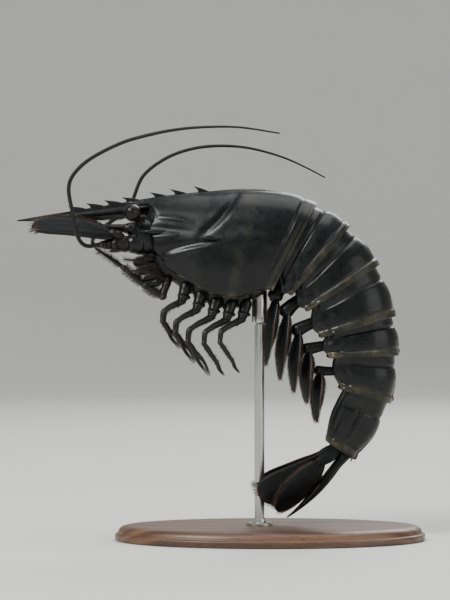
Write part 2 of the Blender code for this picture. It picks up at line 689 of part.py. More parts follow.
def build_eye(name, side):
    root, centre = eye_line(side)
    run = (centre - root).normalized()
    neck = centre - run * (EYE_RADIUS * EYE_CUT + GAP)
    stalk = list(zip((root, root.lerp(neck, 0.5), neck), STALK_RADII))
    stalk_node = fused("eyestalk_" + name, [tube("stalk", stalk, 10)], "limb")
    ball = bmesh.new()
    bmesh.ops.create_uvsphere(ball, u_segments=14, v_segments=9, radius=EYE_RADIUS)
    everything = ball.verts[:] + ball.edges[:] + ball.faces[:]
    floor = Vector((0, 0, -EYE_RADIUS * EYE_CUT))
    bmesh.ops.bisect_plane(ball, geom=everything, plane_co=floor, plane_no=(0, 0, 1), clear_inner=True)
    rim = [edge for edge in ball.edges if edge.is_boundary]
    bmesh.ops.contextual_create(ball, geom=rim)
    bmesh.ops.rotate(ball, matrix=run.to_track_quat("Z", "Y").to_matrix(), verts=ball.verts)
    bmesh.ops.translate(ball, vec=centre, verts=ball.verts)
    return stalk_node, fused("eye_" + name, [shape_object("eye", ball)], "eye")


def antennule_points(side):
    root = ANTENNULE_ROOT * Vector((1, side, 1))
    return [root + Vector((x, side * y, z)) for x, y, z in ANTENNULE_JOINTS]


def build_antennule(name, side):
    """The short inner feeler: a peduncle of three lengths and two fine flagella."""
    joints = antennule_points(side)
    end = joints[-1]
    pieces = [tube("peduncle", list(zip(joints, ANTENNULE_RADII)))]
    for lift, out, reach in ANTENNULE_FLAGELLA:
        start = end + Vector((ANTENNULE_RADII[-1] * FLAGELLUM_SINK, 0, lift * FLAGELLUM_LIFT))
        tip = end + Vector((-reach, side * out, lift))
        bend = start.lerp(tip, 0.5) + Vector((0, 0, lift * FLAGELLUM_BOW))
        curve = smooth_path([start, bend, tip], 3)
        pieces.append(tube("flagellum", tapered(curve, FLAGELLUM_RADII), 6))
    return fused("antennule_" + name, pieces, "limb")


def antenna_points(side):
    """The peduncle's run, out from the head, shared by the scale and the long feeler."""
    root = ANTENNA_ROOT * Vector((1, side, 1))
    return [root + Vector((x, side * y, z)) for x, y, z in ANTENNA_JOINTS]


def build_antenna_base(name, side):
    root, base, end = antenna_points(side)
    near, far = ANTENNA_WAISTS
    points = (root, root.lerp(base, near), base, base.lerp(end, far), end)
    peduncle = tube("peduncle", list(zip(points, ANTENNA_RADII)), 10)
    scale_root = scale_line(side)[0]
    boss = stub((scale_root, scale_root + Vector((-1, 0, 0))), SCALE_BOSS, SCALE_BOSS * 2)
    return fused("antenna_base_" + name, [peduncle, boss], "limb")


def scale_line(side):
    """The root and the tip of an antennal scale's middle line."""
    mirror = Vector((1, side, 1))
    return SCALE_ROOT * mirror, (SCALE_ROOT + SCALE_SPAN) * mirror


def build_scale(name, side):
    """The flat blade beside the peduncle, stiff and straight along its outer edge."""
    start, end = scale_line(side)
    tilt = math.radians(SCALE_TILT)
    out = Vector((0, side * math.cos(tilt), -math.sin(tilt)))
    lift = Vector((0, side * math.sin(tilt), math.cos(tilt)))
    rings = []
    for step in range(SCALE_STEPS + 1):
        share = step / SCALE_STEPS
        wide = SCALE_HALF_WIDTH * between(SCALE_OUTLINE, share)
        centre = start.lerp(end, share) + out * (SCALE_HALF_WIDTH - wide) / 2
        centre = centre + lift * SCALE_CAMBER * math.sin(math.pi * share)
        top, low = [], []
        for index in range(SCALE_COLUMNS + 1):
            across = -1 + 2 * index / SCALE_COLUMNS
            half = SCALE_THICK / 2 * (1 - across * across / 3)
            point = centre + out * wide * across
            top.append(point + lift * (half + (SCALE_RIB if index == SCALE_RIB_AT else 0.0)))
            low.append(point - lift * half)
        rings.append(top + low[::-1])
    first, last, side_share, girth = SCALE_SPINE
    edge = out * SCALE_HALF_WIDTH * side_share
    point = thorn(start.lerp(end, first) + edge, start.lerp(end, last) + edge, SCALE_THICK * girth)
    return fused("antennal_scale_" + name, [lofted("scale", rings), point], "fan")


def build_feeler(name, side):
    """The long flagellum, in three lengths, from the end of its peduncle."""
    _, base, end = antenna_points(side)
    run = (end - base).normalized()
    path = [end + run * FEELER_GAP, end + run * FEELER_STRAIGHT]
    path += [point * Vector((1, side, 1)) for point in FEELERS[name]]
    knots = tapered(smooth_path(path, 2), FEELER_RADII)
    cuts = [round((len(knots) - 1) * part / FEELER_LENGTHS) for part in range(FEELER_LENGTHS + 1)]
    for part, (first, last) in enumerate(zip(cuts, cuts[1:])):
        length = knots[first : last + 1]
        if part:
            point, thick = length[0]
            length[0] = (point + (length[1][0] - point).normalized() * FEELER_GAP, thick)
        if last == len(knots) - 1:
            point, thick = length[-1]
            length[-1] = (point, thick / 2)
        title = f"antenna_{name}_{part + 1}"
        fused(title, [tube(title, length, 6)], "limb")


def build_maxilliped(name, side):
    path = rounded_path(maxilliped_points(side), MAXILLIPED_RADII)
    return fused("maxilliped_" + name, [tube("maxilliped", path)], "limb")


def leg_points(side, pair):
    root, scale = LEG_ROOTS[pair], LEG_SCALES[pair]
    return [(root + joint * scale) * Vector((1, side, 1)) for joint in LEG_JOINTS]


def build_leg(name, side, pair):
    """One walking leg: coxa and basis, merus, carpus, propodus and dactyl or pincer."""
    points = leg_points(side, pair)
    title = f"leg_{pair + 1}_{name}"
    if pair >= CHELATE_LEGS:
        return fused(title, [tube("leg", rounded_path(points, LEG_RADII))], "limb")
    palm = points[3].lerp(points[4], PALM_SHARE)
    pieces = [tube("leg", rounded_path(points[:4] + [palm], (*LEG_RADII[:4], PALM_RADIUS)))]
    run = (points[5] - points[3]).normalized()
    apart = run.cross(Vector((0, 1, 0))).normalized()
    knots = (palm - run * PALM_RADIUS, palm.lerp(points[5], FINGER_ELBOW), points[5])
    for way in (-1.0, 1.0):
        line = [knot + apart * way * spread for knot, spread in zip(knots, FINGER_SPREADS)]
        pieces.append(tube("finger", list(zip(line, FINGER_RADII)), 6))
    return fused(title, pieces, "limb")


def build_somite(number):
    """A ring of the tail, from its tucked front to a rim that overlaps the next ring."""
    front, rear = JOINTS[number - 1], JOINTS[number]
    last = number == len(JOINTS) - 1
    start = front.at(0.0, along=GAP)
    front = front._replace(x=start.x, z=start.z)
    rings = []
    for share, scale, hem in SOMITE_STEPS:
        outline = blended(SOMITE_OUTLINE, LAST_OUTLINE, share) if last else SOMITE_OUTLINE
        bow = SOMITE_BOWS[number - 1] * math.sin(math.pi * share) ** 2
        keel = KEELS[number - 1] * max(0.0, share - KEEL_FROM)
        rings.append(trunk_ring(front.mixed(rear, share), outline, scale, hem, 0.0, bow, keel))
    if not last:
        hem = SOMITE_STEPS[-1][2]
        rings.append(trunk_ring(rear, SOMITE_OUTLINE, RIM_SCALE, hem, LIP_REACH))
        rings.append(trunk_ring(rear, SOMITE_OUTLINE, LIP_INSIDE, hem, LIP_REACH))
        rings.append(trunk_ring(rear, SOMITE_OUTLINE, LIP_INSIDE, hem))
    pieces = [lofted("somite", rings)]
    if not last:
        for side in SIDES.values():
            radius = rear.half_width * PLEOPOD_THICK
            pieces.append(stub(pleopod_path(number, side), radius, PLEOPOD_SOCKET))
    return fused(f"somite_{number}", pieces, "shell")


def pleopod_path(number, side):
    """The root, knee and tip of a swimming leg on its somite."""
    section = JOINTS[number - 1].mixed(JOINTS[number], PLEOPOD_PLACE)
    drop = section.depth * PLEOPOD_HIP_DROP + PLEOPOD_HIP_GAP
    root = section.at(drop, side * section.half_width * PLEOPOD_HIP_SIDE)
    knee = root + section.down() * PLEOPOD_SHAFTS[number - 1] + PLEOPOD_KNEE * Vector((1, side, 1))
    return root, knee, PLEOPOD_TIPS[number - 1] * Vector((1, side, 1))


def leaf(start, end, width_way, half_width, bow):
    """A flat leaf-shaped limb that bows towards its own face, with a raised middle."""
    lift = (end - start).cross(width_way).normalized()
    if lift.x < 0:
        lift = -lift
    rings = []
    for step in range(RAMUS_STEPS + 1):
        share = step / RAMUS_STEPS
        wide = half_width * between(PLEOPOD_RAMUS_OUTLINE, share)
        centre = start.lerp(end, share) + lift * bow * math.sin(math.pi * share)
        top, low = [], []
        for index in range(RAMUS_COLUMNS + 1):
            across = -1 + 2 * index / RAMUS_COLUMNS
            half = RAMUS_THICK / 2 * (RAMUS_MIDDLE + (RAMUS_RIM - RAMUS_MIDDLE) * abs(across))
            top.append(centre + width_way * wide * across + lift * half)
            low.append(centre + width_way * wide * across - lift * half)
        rings.append(top + low[::-1])
    return lofted("leaf", rings)


def build_pleopod(name, side, number):
    """A swimming leg: a stout shaft, a long outer leaf and a shorter inner one."""
    root, knee, tip = pleopod_path(number, side)
    thick = JOINTS[number].half_width * PLEOPOD_THICK
    pieces = [tube("shaft", [(root.lerp(knee, share), thick * swell) for share, swell in PLEOPOD_SWELL])]
    for out, ahead, share, half_width, bow in PLEOPOD_RAMI:
        hip = knee.lerp(root, RAMUS_ROOT[0]) + Vector((0, side * out * RAMUS_ROOT[1], 0))
        end = hip.lerp(tip + Vector((ahead, side * out, 0)), share)
        way = (end - hip).normalized()
        across = RAMUS_ACROSS * Vector((1, side, 1))
        across = (across - way * across.dot(way)).normalized()
        pieces.append(leaf(hip, end, across, half_width, bow))
    return fused(f"pleopod_{number}_{name}", pieces, "limb")


def fan_radius(reach):
    return FAN_RADIUS + FAN_SWELL * math.sin(FAN_WAVE * reach / FAN_LENGTH)


def fan_point(reach, angle, layer=0.0):
    """A point on the fan's cone: so far along, so many degrees round from the back."""
    fall = math.radians(FAN_PITCH)
    run = Vector((math.cos(fall), 0, -math.sin(fall)))
    back = Vector((math.sin(fall), 0, math.cos(fall)))
    radius = fan_radius(reach) + layer
    turn = math.radians(angle)
    return FAN_START + run * reach + (back * math.cos(turn) + Vector((0, math.sin(turn), 0))) * radius


def fan_blade(blade, side, outline, ridges, root=None):
    """A blade of the tail fan, curved round the cone, with ridges along its outer face."""
    rings = [root] if root else []
    for step in range(FAN_STEPS + 1):
        share = step / FAN_STEPS
        reach = blade.first + (blade.last - blade.first) * share
        radius = fan_radius(reach) + blade.layer
        wide = math.degrees(blade.half_width * between(outline, share) / radius)
        angle = blade.angle
        if angle:
            angle += (UROPOD_KNEE[1] - angle) * (1 - share) ** blade.turn
        thick = blade.thick * (1 - share**blade.taper) + FAN_TIP * share
        top, low = [], []
        for index, ridge in enumerate(ridges):
            across = -1 + 2 * index / (len(ridges) - 1)
            turn = side * (angle + wide * across)
            half = max(thick * (FAN_MIDDLE + (FAN_RIM - FAN_MIDDLE) * across * across), FAN_TIP) / 2
            top.append(fan_point(reach, turn, blade.layer + half + ridge * (1 - share * RIDGE_FADES)))
            low.append(fan_point(reach, turn, blade.layer - half))
        rings.append(top + low[::-1])
    return lofted("blade", rings)


def build_telson():
    """The pointed middle blade, thick at its root, with a groove between two ridges."""
    outer, inner, half_width = TELSON_ROOT
    span = [half_width * (2 * index / (len(TELSON_RIDGES) - 1) - 1) for index in range(len(TELSON_RIDGES))]
    root = [JOINTS[-1].at(outer + abs(side) / 3, side, GAP) for side in span]
    root += [JOINTS[-1].at(inner, side, GAP) for side in span[::-1]]
    fused("telson", [fan_blade(TELSON, 1.0, TELSON_OUTLINE, TELSON_RIDGES, root)], "fan")


def build_uropod(name, side):
    """The side of the tail fan: a short stem that carries an inner and an outer blade."""
    last = JOINTS[-1]
    hip, heel = (
        last.at(last.depth * drop, side * out, reach) for drop, out, reach in (UROPOD_HIP, UROPOD_HEEL)
    )
    reach, turn, layer = UROPOD_KNEE
    knee = fan_point(reach, side * turn, layer)
    stem = tube("stem", list(zip((hip, heel, heel.lerp(knee, 0.5), knee), UROPOD_RADII)), 10)
    outer = fan_blade(EXOPOD, side, EXOPOD_OUTLINE, BLADE_RIDGES)
    inner = fan_blade(ENDOPOD, side, ENDOPOD_OUTLINE, BLADE_RIDGES)
    fused("uropod_" + name, [stem, outer, inner], "fan")


def build_stand():
    """An oval plate with a softened top edge, and the rod that carries the body."""
    plate = bmesh.new()
    bmesh.ops.create_cone(
        plate, cap_ends=True, segments=BASE_SIDES, radius1=1.0, radius2=1.0, depth=BASE_THICK
    )
    bmesh.ops.scale(plate, vec=Vector((*BASE_HALF, 1.0)), verts=plate.verts)
    bmesh.ops.translate(plate, vec=Vector((0, 0, BASE_THICK / 2)), verts=plate.verts)
    top = [edge for edge in plate.edges if min(v.co.z for v in edge.verts) > BASE_THICK - WELD]
    bmesh.ops.bevel(plate, geom=top, offset=BASE_BEVEL, segments=2, affect="EDGES", profile=0.5)
    fused("stand_base", [shape_object("stand_base", plate)], "stand_wood")
    rod = bmesh.new()
    length = COLLAR_LOW - BASE_THICK - 2 * GAP
    bmesh.ops.create_cone(
        rod, cap_ends=True, segments=ROD_SIDES, radius1=ROD_RADIUS, radius2=ROD_RADIUS, depth=length
    )
    middle = Vector((ROD_X, 0, BASE_THICK + GAP + length / 2))
    bmesh.ops.translate(rod, vec=middle, verts=rod.verts)
    fused("stand_rod", [shape_object("stand_rod", rod)], "stand_metal")


def build_prawn():
    build_carapace()
    build_rostrum()
    build_head()
    build_thorax()
    build_mouthparts()
    for number in range(1, len(JOINTS)):
        build_somite(number)
    build_telson()
    for name, side in SIDES.items():
        build_eye(name, side)
        build_antennule(name, side)
        build_antenna_base(name, side)
        build_scale(name, side)
        build_feeler(name, side)
        build_maxilliped(name, side)
        build_uropod(name, side)
        for pair in range(len(LEG_ROOTS)):
            build_leg(name, side, pair)
        for number in range(1, len(JOINTS) - 1):
            build_pleopod(name, side, number)


clear_scene()
build_prawn()
build_stand()
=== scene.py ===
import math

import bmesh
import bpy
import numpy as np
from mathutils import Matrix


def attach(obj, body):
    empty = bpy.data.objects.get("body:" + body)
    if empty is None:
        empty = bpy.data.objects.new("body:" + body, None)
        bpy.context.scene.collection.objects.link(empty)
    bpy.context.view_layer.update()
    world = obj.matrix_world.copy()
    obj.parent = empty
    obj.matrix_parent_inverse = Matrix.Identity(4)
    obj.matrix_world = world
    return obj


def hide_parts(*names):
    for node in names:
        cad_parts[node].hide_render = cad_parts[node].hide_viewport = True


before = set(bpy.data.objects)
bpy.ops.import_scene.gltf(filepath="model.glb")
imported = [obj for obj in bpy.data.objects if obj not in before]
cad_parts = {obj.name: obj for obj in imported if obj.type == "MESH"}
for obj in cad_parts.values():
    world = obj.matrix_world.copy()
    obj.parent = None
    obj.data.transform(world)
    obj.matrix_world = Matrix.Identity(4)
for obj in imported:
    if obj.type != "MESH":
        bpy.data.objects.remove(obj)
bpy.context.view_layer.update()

# Black tiger prawn, life size, on a display stand: the pieces that are seen, and their finishes.
# It heads towards -X, so its left side faces -Y. Sizes are in millimetres, and become metres in
# add_piece. A cross-section of the trunk is given by x and z of the back, the degrees that the
# body runs below the horizontal, its depth and its half width.

MM = 0.001
GAP = 0.3
SIDES = {"left": -1.0, "right": 1.0}
CHANCE = np.random.default_rng(11)

CARAPACE = np.array([
    (-49.2, 135.6, -9.0, 24.6, 9.4), (-44.0, 136.6, -7.0, 28.6, 10.8),
    (-35.2, 137.8, -3.0, 33.8, 12.6), (-24.0, 139.0, 4.0, 39.2, 14.4),
    (-12.8, 140.0, 9.0, 43.2, 15.3), (-2.0, 140.0, 15.0, 44.8, 15.5),
    (8.8, 138.6, 22.0, 42.8, 15.0), (17.6, 135.4, 27.0, 39.6, 14.2),
])
JOINTS = np.array([
    (17.6, 135.0, 27.0, 38.0, 13.5), (30.8, 126.4, 40.0, 37.2, 13.4),
    (42.8, 111.2, 57.0, 35.2, 13.0), (49.6, 90.8, 74.0, 32.0, 12.0),
    (51.0, 75.2, 88.0, 28.8, 10.8), (48.4, 56.0, 106.0, 22.0, 9.2),
    (33.2, 32.6, 125.0, 13.6, 5.6),
])
TAIL_SHAPE_FROM = 3

# Half outlines of a section, as shares of half width and depth, from back to belly.
CARAPACE_OUTLINE = (
    (0.0, 0.0), (0.2, 0.022), (0.42, 0.085), (0.63, 0.19), (0.8, 0.33), (0.93, 0.49), (1.0, 0.65),
    (0.985, 0.81), (0.9, 0.94), (0.78, 1.0), (0.66, 0.97), (0.5, 0.87), (0.0, 0.84),
)
SOMITE_OUTLINE = (
    (0.0, 0.0), (0.3, 0.02), (0.57, 0.085), (0.79, 0.19), (0.94, 0.33), (1.0, 0.49), (0.99, 0.66),
    (0.96, 0.82), (0.9, 0.94), (0.8, 1.0), (0.68, 0.965), (0.42, 0.81), (0.0, 0.78),
)
LAST_OUTLINE = (
    (0.0, 0.0), (0.34, 0.03), (0.64, 0.11), (0.86, 0.25), (0.98, 0.42), (1.0, 0.58), (0.96, 0.73),
    (0.86, 0.86), (0.72, 0.95), (0.55, 1.0), (0.42, 0.98), (0.28, 0.95), (0.0, 0.94),
)
HEM_FROM = 0.5
HEM_KNOT = 9  # the outline's point at the lower edge of a side plate

# Along one somite: share of its length, and the section's scale and the side plate's drop there.
SOMITE_SCALES = ((0.0, 0.93), (0.36, 0.94), (0.58, 0.985), (0.82, 1.01), (1.0, 1.03))
SOMITE_HEMS = ((0.0, 0.78), (0.36, 0.95), (0.58, 1.0), (0.82, 0.98), (1.0, 0.92))
SOMITE_BOWS = (1.2, 1.4, 1.3, 0.9, 1.0, 2.2)
KEELS = (0.0, 0.0, 0.3, 0.7, 0.8, 1.0)
LAST_SOMITE = 6

ROSTRUM_TIP = np.array((-101.2, 0.0, 128.0))
ROSTRUM_DEPTH, ROSTRUM_THICK = 5.6, 2.8
DORSAL_TEETH = (0.06, 0.2, 0.34, 0.48)
VENTRAL_TEETH = (0.5, 0.63, 0.76)
CREST_TEETH = (-46.0, -38.0, -29.0)
TOOTH_BASE, TOOTH_HEIGHT = 5.0, 2.1
CREST_RISE = 1.0  # the crest over the back at the carapace's front edge
# Station, shares of depth and half width, and length of the antennal and the hepatic spine.
CARAPACE_SPINES = ((0, 0.53, 0.93, 7.0), (3, 0.47, 0.93, 5.2))

HEAD_TOP, HEAD_BOTTOM, HEAD_HALF_WIDTH = 6.6, 21.6, 7.6
EYE_CENTRE = np.array((-54.8, 10.8, 130.6))
STALK_ROOT = np.array((-52.2, 6.0, 127.4))
EYE_RADIUS = 3.3

ANTENNULE_ROOT = np.array((-57.8, 2.7, 124.6))
ANTENNULE_JOINTS = np.array(((0, 0, 0), (-7.0, 0.3, 0.4), (-12.0, 0.5, 0.7), (-16.5, 0.7, 0.9)))
ANTENNULE_FLAGELLA = ((1.9, 1.4, 15.0), (-1.6, 0.4, 13.0))  # lift, spread and reach
ANTENNA_ROOT = np.array((-57.0, 5.4, 118.4))
ANTENNA_JOINTS = np.array(((0, 0, 0), (-5.2, 1.9, -0.2), (-9.8, 3.2, -0.4)))
SCALE_ROOT = np.array((-62.6, 8.0, 122.6))
SCALE_SPAN = np.array((-32.0, 0.8, 3.8))
SCALE_HALF_WIDTH, SCALE_TILT, SCALE_CAMBER = 4.9, 44.0, 0.7
FEELERS = {
    "left": (
        (-72.0, 11.4, 117.0), (-75.0, 14.4, 118.6), (-76.6, 16.6, 123.2), (-77.6, 17.9, 129.2),
        (-79.4, 19.4, 138.8), (-78.0, 20.4, 144.4), (-71.4, 21.8, 150.8), (-59.4, 23.2, 157.0),
        (-49.6, 24.0, 160.0), (-37.6, 25.0, 162.4), (-25.6, 26.0, 163.4), (-12.0, 27.2, 163.2),
        (3.2, 28.6, 160.8),
    ),
    "right": (
        (-71.4, 11.8, 118.2), (-71.8, 14.8, 120.6), (-68.8, 17.6, 124.8), (-62.6, 19.4, 129.2),
        (-56.8, 20.6, 134.4), (-54.4, 21.4, 140.4), (-52.0, 22.2, 146.2), (-46.4, 23.4, 151.4),
        (-37.6, 24.6, 156.2), (-25.6, 25.8, 159.0), (-10.4, 27.0, 158.8), (4.4, 28.0, 155.2),
        (15.2, 28.8, 150.6), (23.2, 29.4, 146.4),
    ),
}
# Share of a feeler's length, and its radius there.
FEELER_GIRTH = ((0.0, 1.12), (0.03, 0.86), (0.6, 0.7), (1.0, 0.32))

MAXILLIPED = np.array((
    (-41.6, 4.6, 101.6), (-43.0, 5.6, 97.6), (-50.0, 5.6, 101.8), (-58.6, 5.0, 109.0),
    (-69.6, 4.2, 116.6),
))
LEG_ROOTS = np.array((
    (-34.4, 6.2, 98.6), (-28.4, 6.4, 95.4), (-22.4, 6.6, 93.0), (-16.4, 6.6, 91.8),
    (-10.4, 6.4, 91.8),
))
LEG_SCALES = (0.86, 0.96, 1.06, 1.02, 0.98)
CHELATE_LEGS = 3
LEG_JOINTS = np.array((
    (0.0, 0.0, 0.0), (-1.0, 1.2, -3.6), (-9.4, 6.6, -8.6), (-9.8, 7.6, -13.0), (-4.4, 7.0, -21.0),
    (-1.6, 6.0, -25.4),
))

PLEOPOD_SHAFTS = (9.0, 11.0, 11.5, 11.0, 9.5)
PLEOPOD_TIPS = np.array((
    (-1.6, 9.6, 70.4), (4.0, 9.8, 64.6), (9.4, 9.8, 59.6), (14.6, 9.4, 55.2), (18.4, 8.6, 47.6),
))
PLEOPOD_HIP_SIDE, PLEOPOD_THICK = 0.25, 0.15
PLEOPOD_RAMI = ((1.2, 0.0, 1.0, 2.8, -1.0), (-2.0, 1.4, 0.74, 2.2, 0.5))

# Tail fan: blades lie on a cone, whose line runs from FAN_START at FAN_PITCH.
FAN_START = np.array((22.4, 0.0, 38.8))
FAN_PITCH, FAN_LENGTH = 142.0, 32.0
# The cone's radius at its start, and by how much it swells, along that much of a sine's wave.
FAN_RADIUS, FAN_SWELL, FAN_WAVE = 7.4, 4.8, 1.9
LAYER = 1.6
# Reach at root and tip, degrees round, half width, layer and thickness of each blade, and the
# power by which it turns away from the stem.
TELSON = (1.6, 30.6, 0.0, 4.9, LAYER, 3.0, 0.0)
EXOPOD = (4.4, 34.0, 87.0, 6.7, -LAYER, 1.0, 1.0)
ENDOPOD = (4.6, 32.0, 47.0, 6.9, 0.0, 1.0, 6.0)
FAN_TAPER, FAN_TIP_THICK = 1.8, 0.35
STEM_TURN = 65.0  # degrees round to the side blades' stem

BASE_HALF = np.array((62.0, 38.0))
ROD_X = -4.2


# Curves and surfaces.


def catmull(a, b, c, d, f):
    """Smoothly from b to c."""
    return 0.5 * (2 * b + (c - a) * f + (2 * a - 5 * b + 4 * c - d) * f**2 + (3 * b - a - 3 * c + d) * f**3)


def through(knots, at):
    """A smooth curve through rows of knots, at places counted from 0 in knots."""
    knots = np.asarray(knots, float)
    at = np.clip(np.asarray(at, float), 0, len(knots) - 1)
    first = np.minimum(at.astype(int), len(knots) - 2)
    share = (at - first).reshape(at.shape + (1,) * (knots.ndim - 1))
    padded = np.concatenate([[2 * knots[0] - knots[1]], knots, [2 * knots[-1] - knots[-2]]])
    return catmull(*(padded[first + step] for step in range(4)), share)


def flow(pairs, at):
    """The value at each place along (place, value) pairs, with no corner at a pair."""
    place, value = np.array(pairs, float).T
    slope = np.gradient(value, place)
    at = np.clip(at, place[0], place[-1])
    first = np.clip(np.searchsorted(place, at, side="right") - 1, 0, len(place) - 2)
    span = place[first + 1] - place[first]
    t = (at - place[first]) / span
    return (
        value[first] * (1 + 2 * t) * (1 - t) ** 2 + slope[first] * span * t * (1 - t) ** 2
        + value[first + 1] * t * t * (3 - 2 * t) + slope[first + 1] * span * t * t * (t - 1)
    )


def reach_along(path):
    """How far along a path each of its points is."""
    return np.concatenate([[0], np.cumsum(np.linalg.norm(np.diff(path, axis=0), axis=1))])


def picked(path, where):
    """The points of a path that are so far along it."""
    reach = reach_along(path)
    return np.stack([np.interp(where, reach, path[:, axis]) for axis in range(3)], -1)


def evenly(path, count, rounds):
    """Evenly spaced points along a path, with its bends eased by so many rounds of averaging."""
    even = picked(path, np.linspace(0, reach_along(path)[-1], count))
    for _ in range(rounds):
        even[1:-1] = (even[:-2] + 2 * even[1:-1] + even[2:]) / 4
    return even


def hump(distance, width):
    return np.exp(-((distance / width) ** 2))


def relief(where, ridges):
    """The height of ridges, each given by its place, its width and its height. A groove's is below 0."""
    return sum(height * hump(where - place, width) for place, width, height in ridges)


def unit(way):
    return way / (np.linalg.norm(way, axis=-1, keepdims=True) + 1e-12)


def mirrored(points, side):
    return np.asarray(points, float) * (1, side, 1)


def beside(points, corners):
    """How far points in a plane are from a smooth line through corners, and how far along it."""
    best, along = np.full(points.shape[:-1], 1e9), np.zeros(points.shape[:-1])
    line = through(corners, np.linspace(0, len(corners) - 1, 16))
    for index, (a, b) in enumerate(zip(line, line[1:])):
        run = b - a
        t = np.clip(((points - a) @ run) / (run @ run), 0, 1)
        away = np.linalg.norm(points - a - t[..., None] * run, axis=-1)
        along = np.where(away < best, (index + t) / (len(line) - 1), along)
        best = np.minimum(best, away)
    return best, along


class Form:
    """Surfaces gathered for one piece: points, faces, and each point's tone and place on the skin."""

    def __init__(self):
        self.points, self.faces, self.tones, self.places = [], [], [], []
        self.count = self.strips = 0

    def add(self, points, faces, tone=0.0, place=None):
        points = np.asarray(points, float).reshape(-1, 3)
        self.points.append(points)
        self.faces += [tuple(corner + self.count for corner in face) for face in faces]
        self.tones.append(np.broadcast_to(np.asarray(tone, float), (len(points),)))
        if place is not None:
            self.places.append(place)
        self.count += len(points)
        return self


def loft(rings, closed=True):
    """Points and faces of a surface through closed rings, with its ends shut."""
    rings = np.asarray(rings, float)
    many, count = rings.shape[:2]
    index = np.arange(many * count).reshape(many, count)
    turned = np.roll(index, -1, axis=1)
    faces = np.stack([index[:-1], turned[:-1], turned[1:], index[1:]], -1).reshape(-1, 4).tolist()
    points = rings.reshape(-1, 3)
    if closed:
        for ring in (0, -1):
            middle = len(points)
            points = np.concatenate([points, rings[ring].mean(0, keepdims=True)])
            faces += np.stack([index[ring], turned[ring], np.full(count, middle)], -1).tolist()
    return points, faces


def frames(path, way=None):
    """Directions along and across a path, which don't twist as it bends."""
    along = unit(np.gradient(path, axis=0))
    if way is None:
        way = (0.0, 1.0, 0.0) if abs(along[0][1]) < 0.9 else (1.0, 0.0, 0.0)
    across = np.zeros_like(path)
    last = np.asarray(way, float)
    for index, run in enumerate(along):
        last = unit(last - run * (last @ run))
        across[index] = last
    return along, across, np.cross(along, across)


ROUND_END = np.array((0.95, 0.75, 0.4))


def tube(path, radii, sides=12, flat=1.0, way=None, rounded=(True, True)):
    """Rings round a path. Across the given way it is that radius, and the other way flat times it."""
    path, radii = np.asarray(path, float), np.asarray(radii, float)
    along, across, other = frames(path, way)
    if rounded[0]:
        path = np.concatenate([path[0] - along[0] * (ROUND_END * radii[0] * 0.8)[:, None], path])
        radii = np.concatenate([radii[0] * np.sqrt(1 - ROUND_END**2), radii])
    if rounded[1]:
        path = np.concatenate([path, path[-1] + along[-1] * (ROUND_END[::-1] * radii[-1] * 0.8)[:, None]])
        radii = np.concatenate([radii, radii[-1] * np.sqrt(1 - ROUND_END[::-1] ** 2)])
    pads = [3 * int(rounded[0]), 3 * int(rounded[1])]
    across, other = (np.pad(v, (pads, (0, 0)), mode="edge") for v in (across, other))
    turn = np.arange(sides) * math.tau / sides
    rim = across[:, None] * np.cos(turn)[:, None] + other[:, None] * np.sin(turn)[:, None] * flat
    return path[:, None] + rim * radii[:, None, None]


def line(start, end, count=12, bow=None):
    """Points from start to end, which may bow to one side."""
    share = np.linspace(0, 1, count)[:, None]
    points = np.asarray(start) + (np.asarray(end) - np.asarray(start)) * share
    return points if bow is None else points + np.asarray(bow) * np.sin(math.pi * share)


def rod(form, path, girth, sides, tone, thick=1.0, flat=1.0, rounded=(True, True)):
    """A solid round a path, whose girth changes along it."""
    radii = thick * flow(girth, np.linspace(0, 1, len(path)))
    form.add(*loft(tube(path, radii, sides, flat, rounded=rounded)), tone)


# A hard length of a limb: share of its length, and its girth there.
SEGMENT_GIRTH = (
    (0.0, 0.62), (0.05, 0.8), (0.15, 0.94), (0.35, 1.0), (0.65, 0.93), (0.88, 0.96), (0.95, 1.03),
    (0.985, 1.02), (1.0, 0.86),
)


def segment(form, start, end, thick, thin, flat=1.0, way=None, bow=None, tone=0.0, sides=16,
            girth=SEGMENT_GIRTH):
    """A hard length of a limb: narrow at its root, and cupped round the next joint."""
    path = line(start, end, 26, bow)
    share = np.linspace(0, 1, len(path))
    rings = tube(path, (thick + (thin - thick) * share) * flow(girth, share), sides, flat, way)
    rim = np.clip(np.linspace(-0.1, 1.1, len(rings)), 0, 1)
    tones = tone + 0.4 * hump(rim - 1.0, 0.08) + 0.25 * hump(rim, 0.06)
    form.add(*loft(rings), np.concatenate([np.repeat(tones, sides), tones[[0, -1]]]))


def ball(form, centre, radii, tone=0.0, count=12):
    """A rounded lump."""
    turn = np.linspace(0.02, math.pi - 0.02, count)
    around = np.arange(2 * count) * math.tau / (2 * count)
    rings = np.stack([
        np.cos(turn)[:, None] + 0 * around, np.sin(turn)[:, None] * np.cos(around),
        np.sin(turn)[:, None] * np.sin(around),
    ], -1)
    form.add(*loft(rings * np.asarray(radii) + np.asarray(centre)), tone)


SKIN_TONE = 0.4


def skin(form, centre, radius, count=8):
    """The soft skin inside a joint."""
    ball(form, centre, (radius,) * 3, SKIN_TONE, count)


def fang(form, back, front, tip, thick, tone=0.0):
    """A flattened tooth that stands on the line from back to front and hooks over to its tip."""
    back, front, tip = (np.asarray(v, float) for v in (back, front, tip))
    share = np.linspace(0, 1, 12)[:, None]
    root = (back + front) / 2
    lean = root + (tip - root) * share + (back - front) * 0.16 * np.sin(math.pi * share)
    chord = (front - back) / 2 * ((1 - share) ** 0.9 + 0.03)
    turn = np.arange(14) * math.tau / 14
    side = np.array((0.0, 1.0, 0.0)) * thick / 2 * ((1 - share) ** 0.8 + 0.06)
    rings = lean[:, None] + chord[:, None] * np.cos(turn)[:, None] + side[:, None] * np.sin(turn)[:, None]
    form.add(*loft(rings), tone)


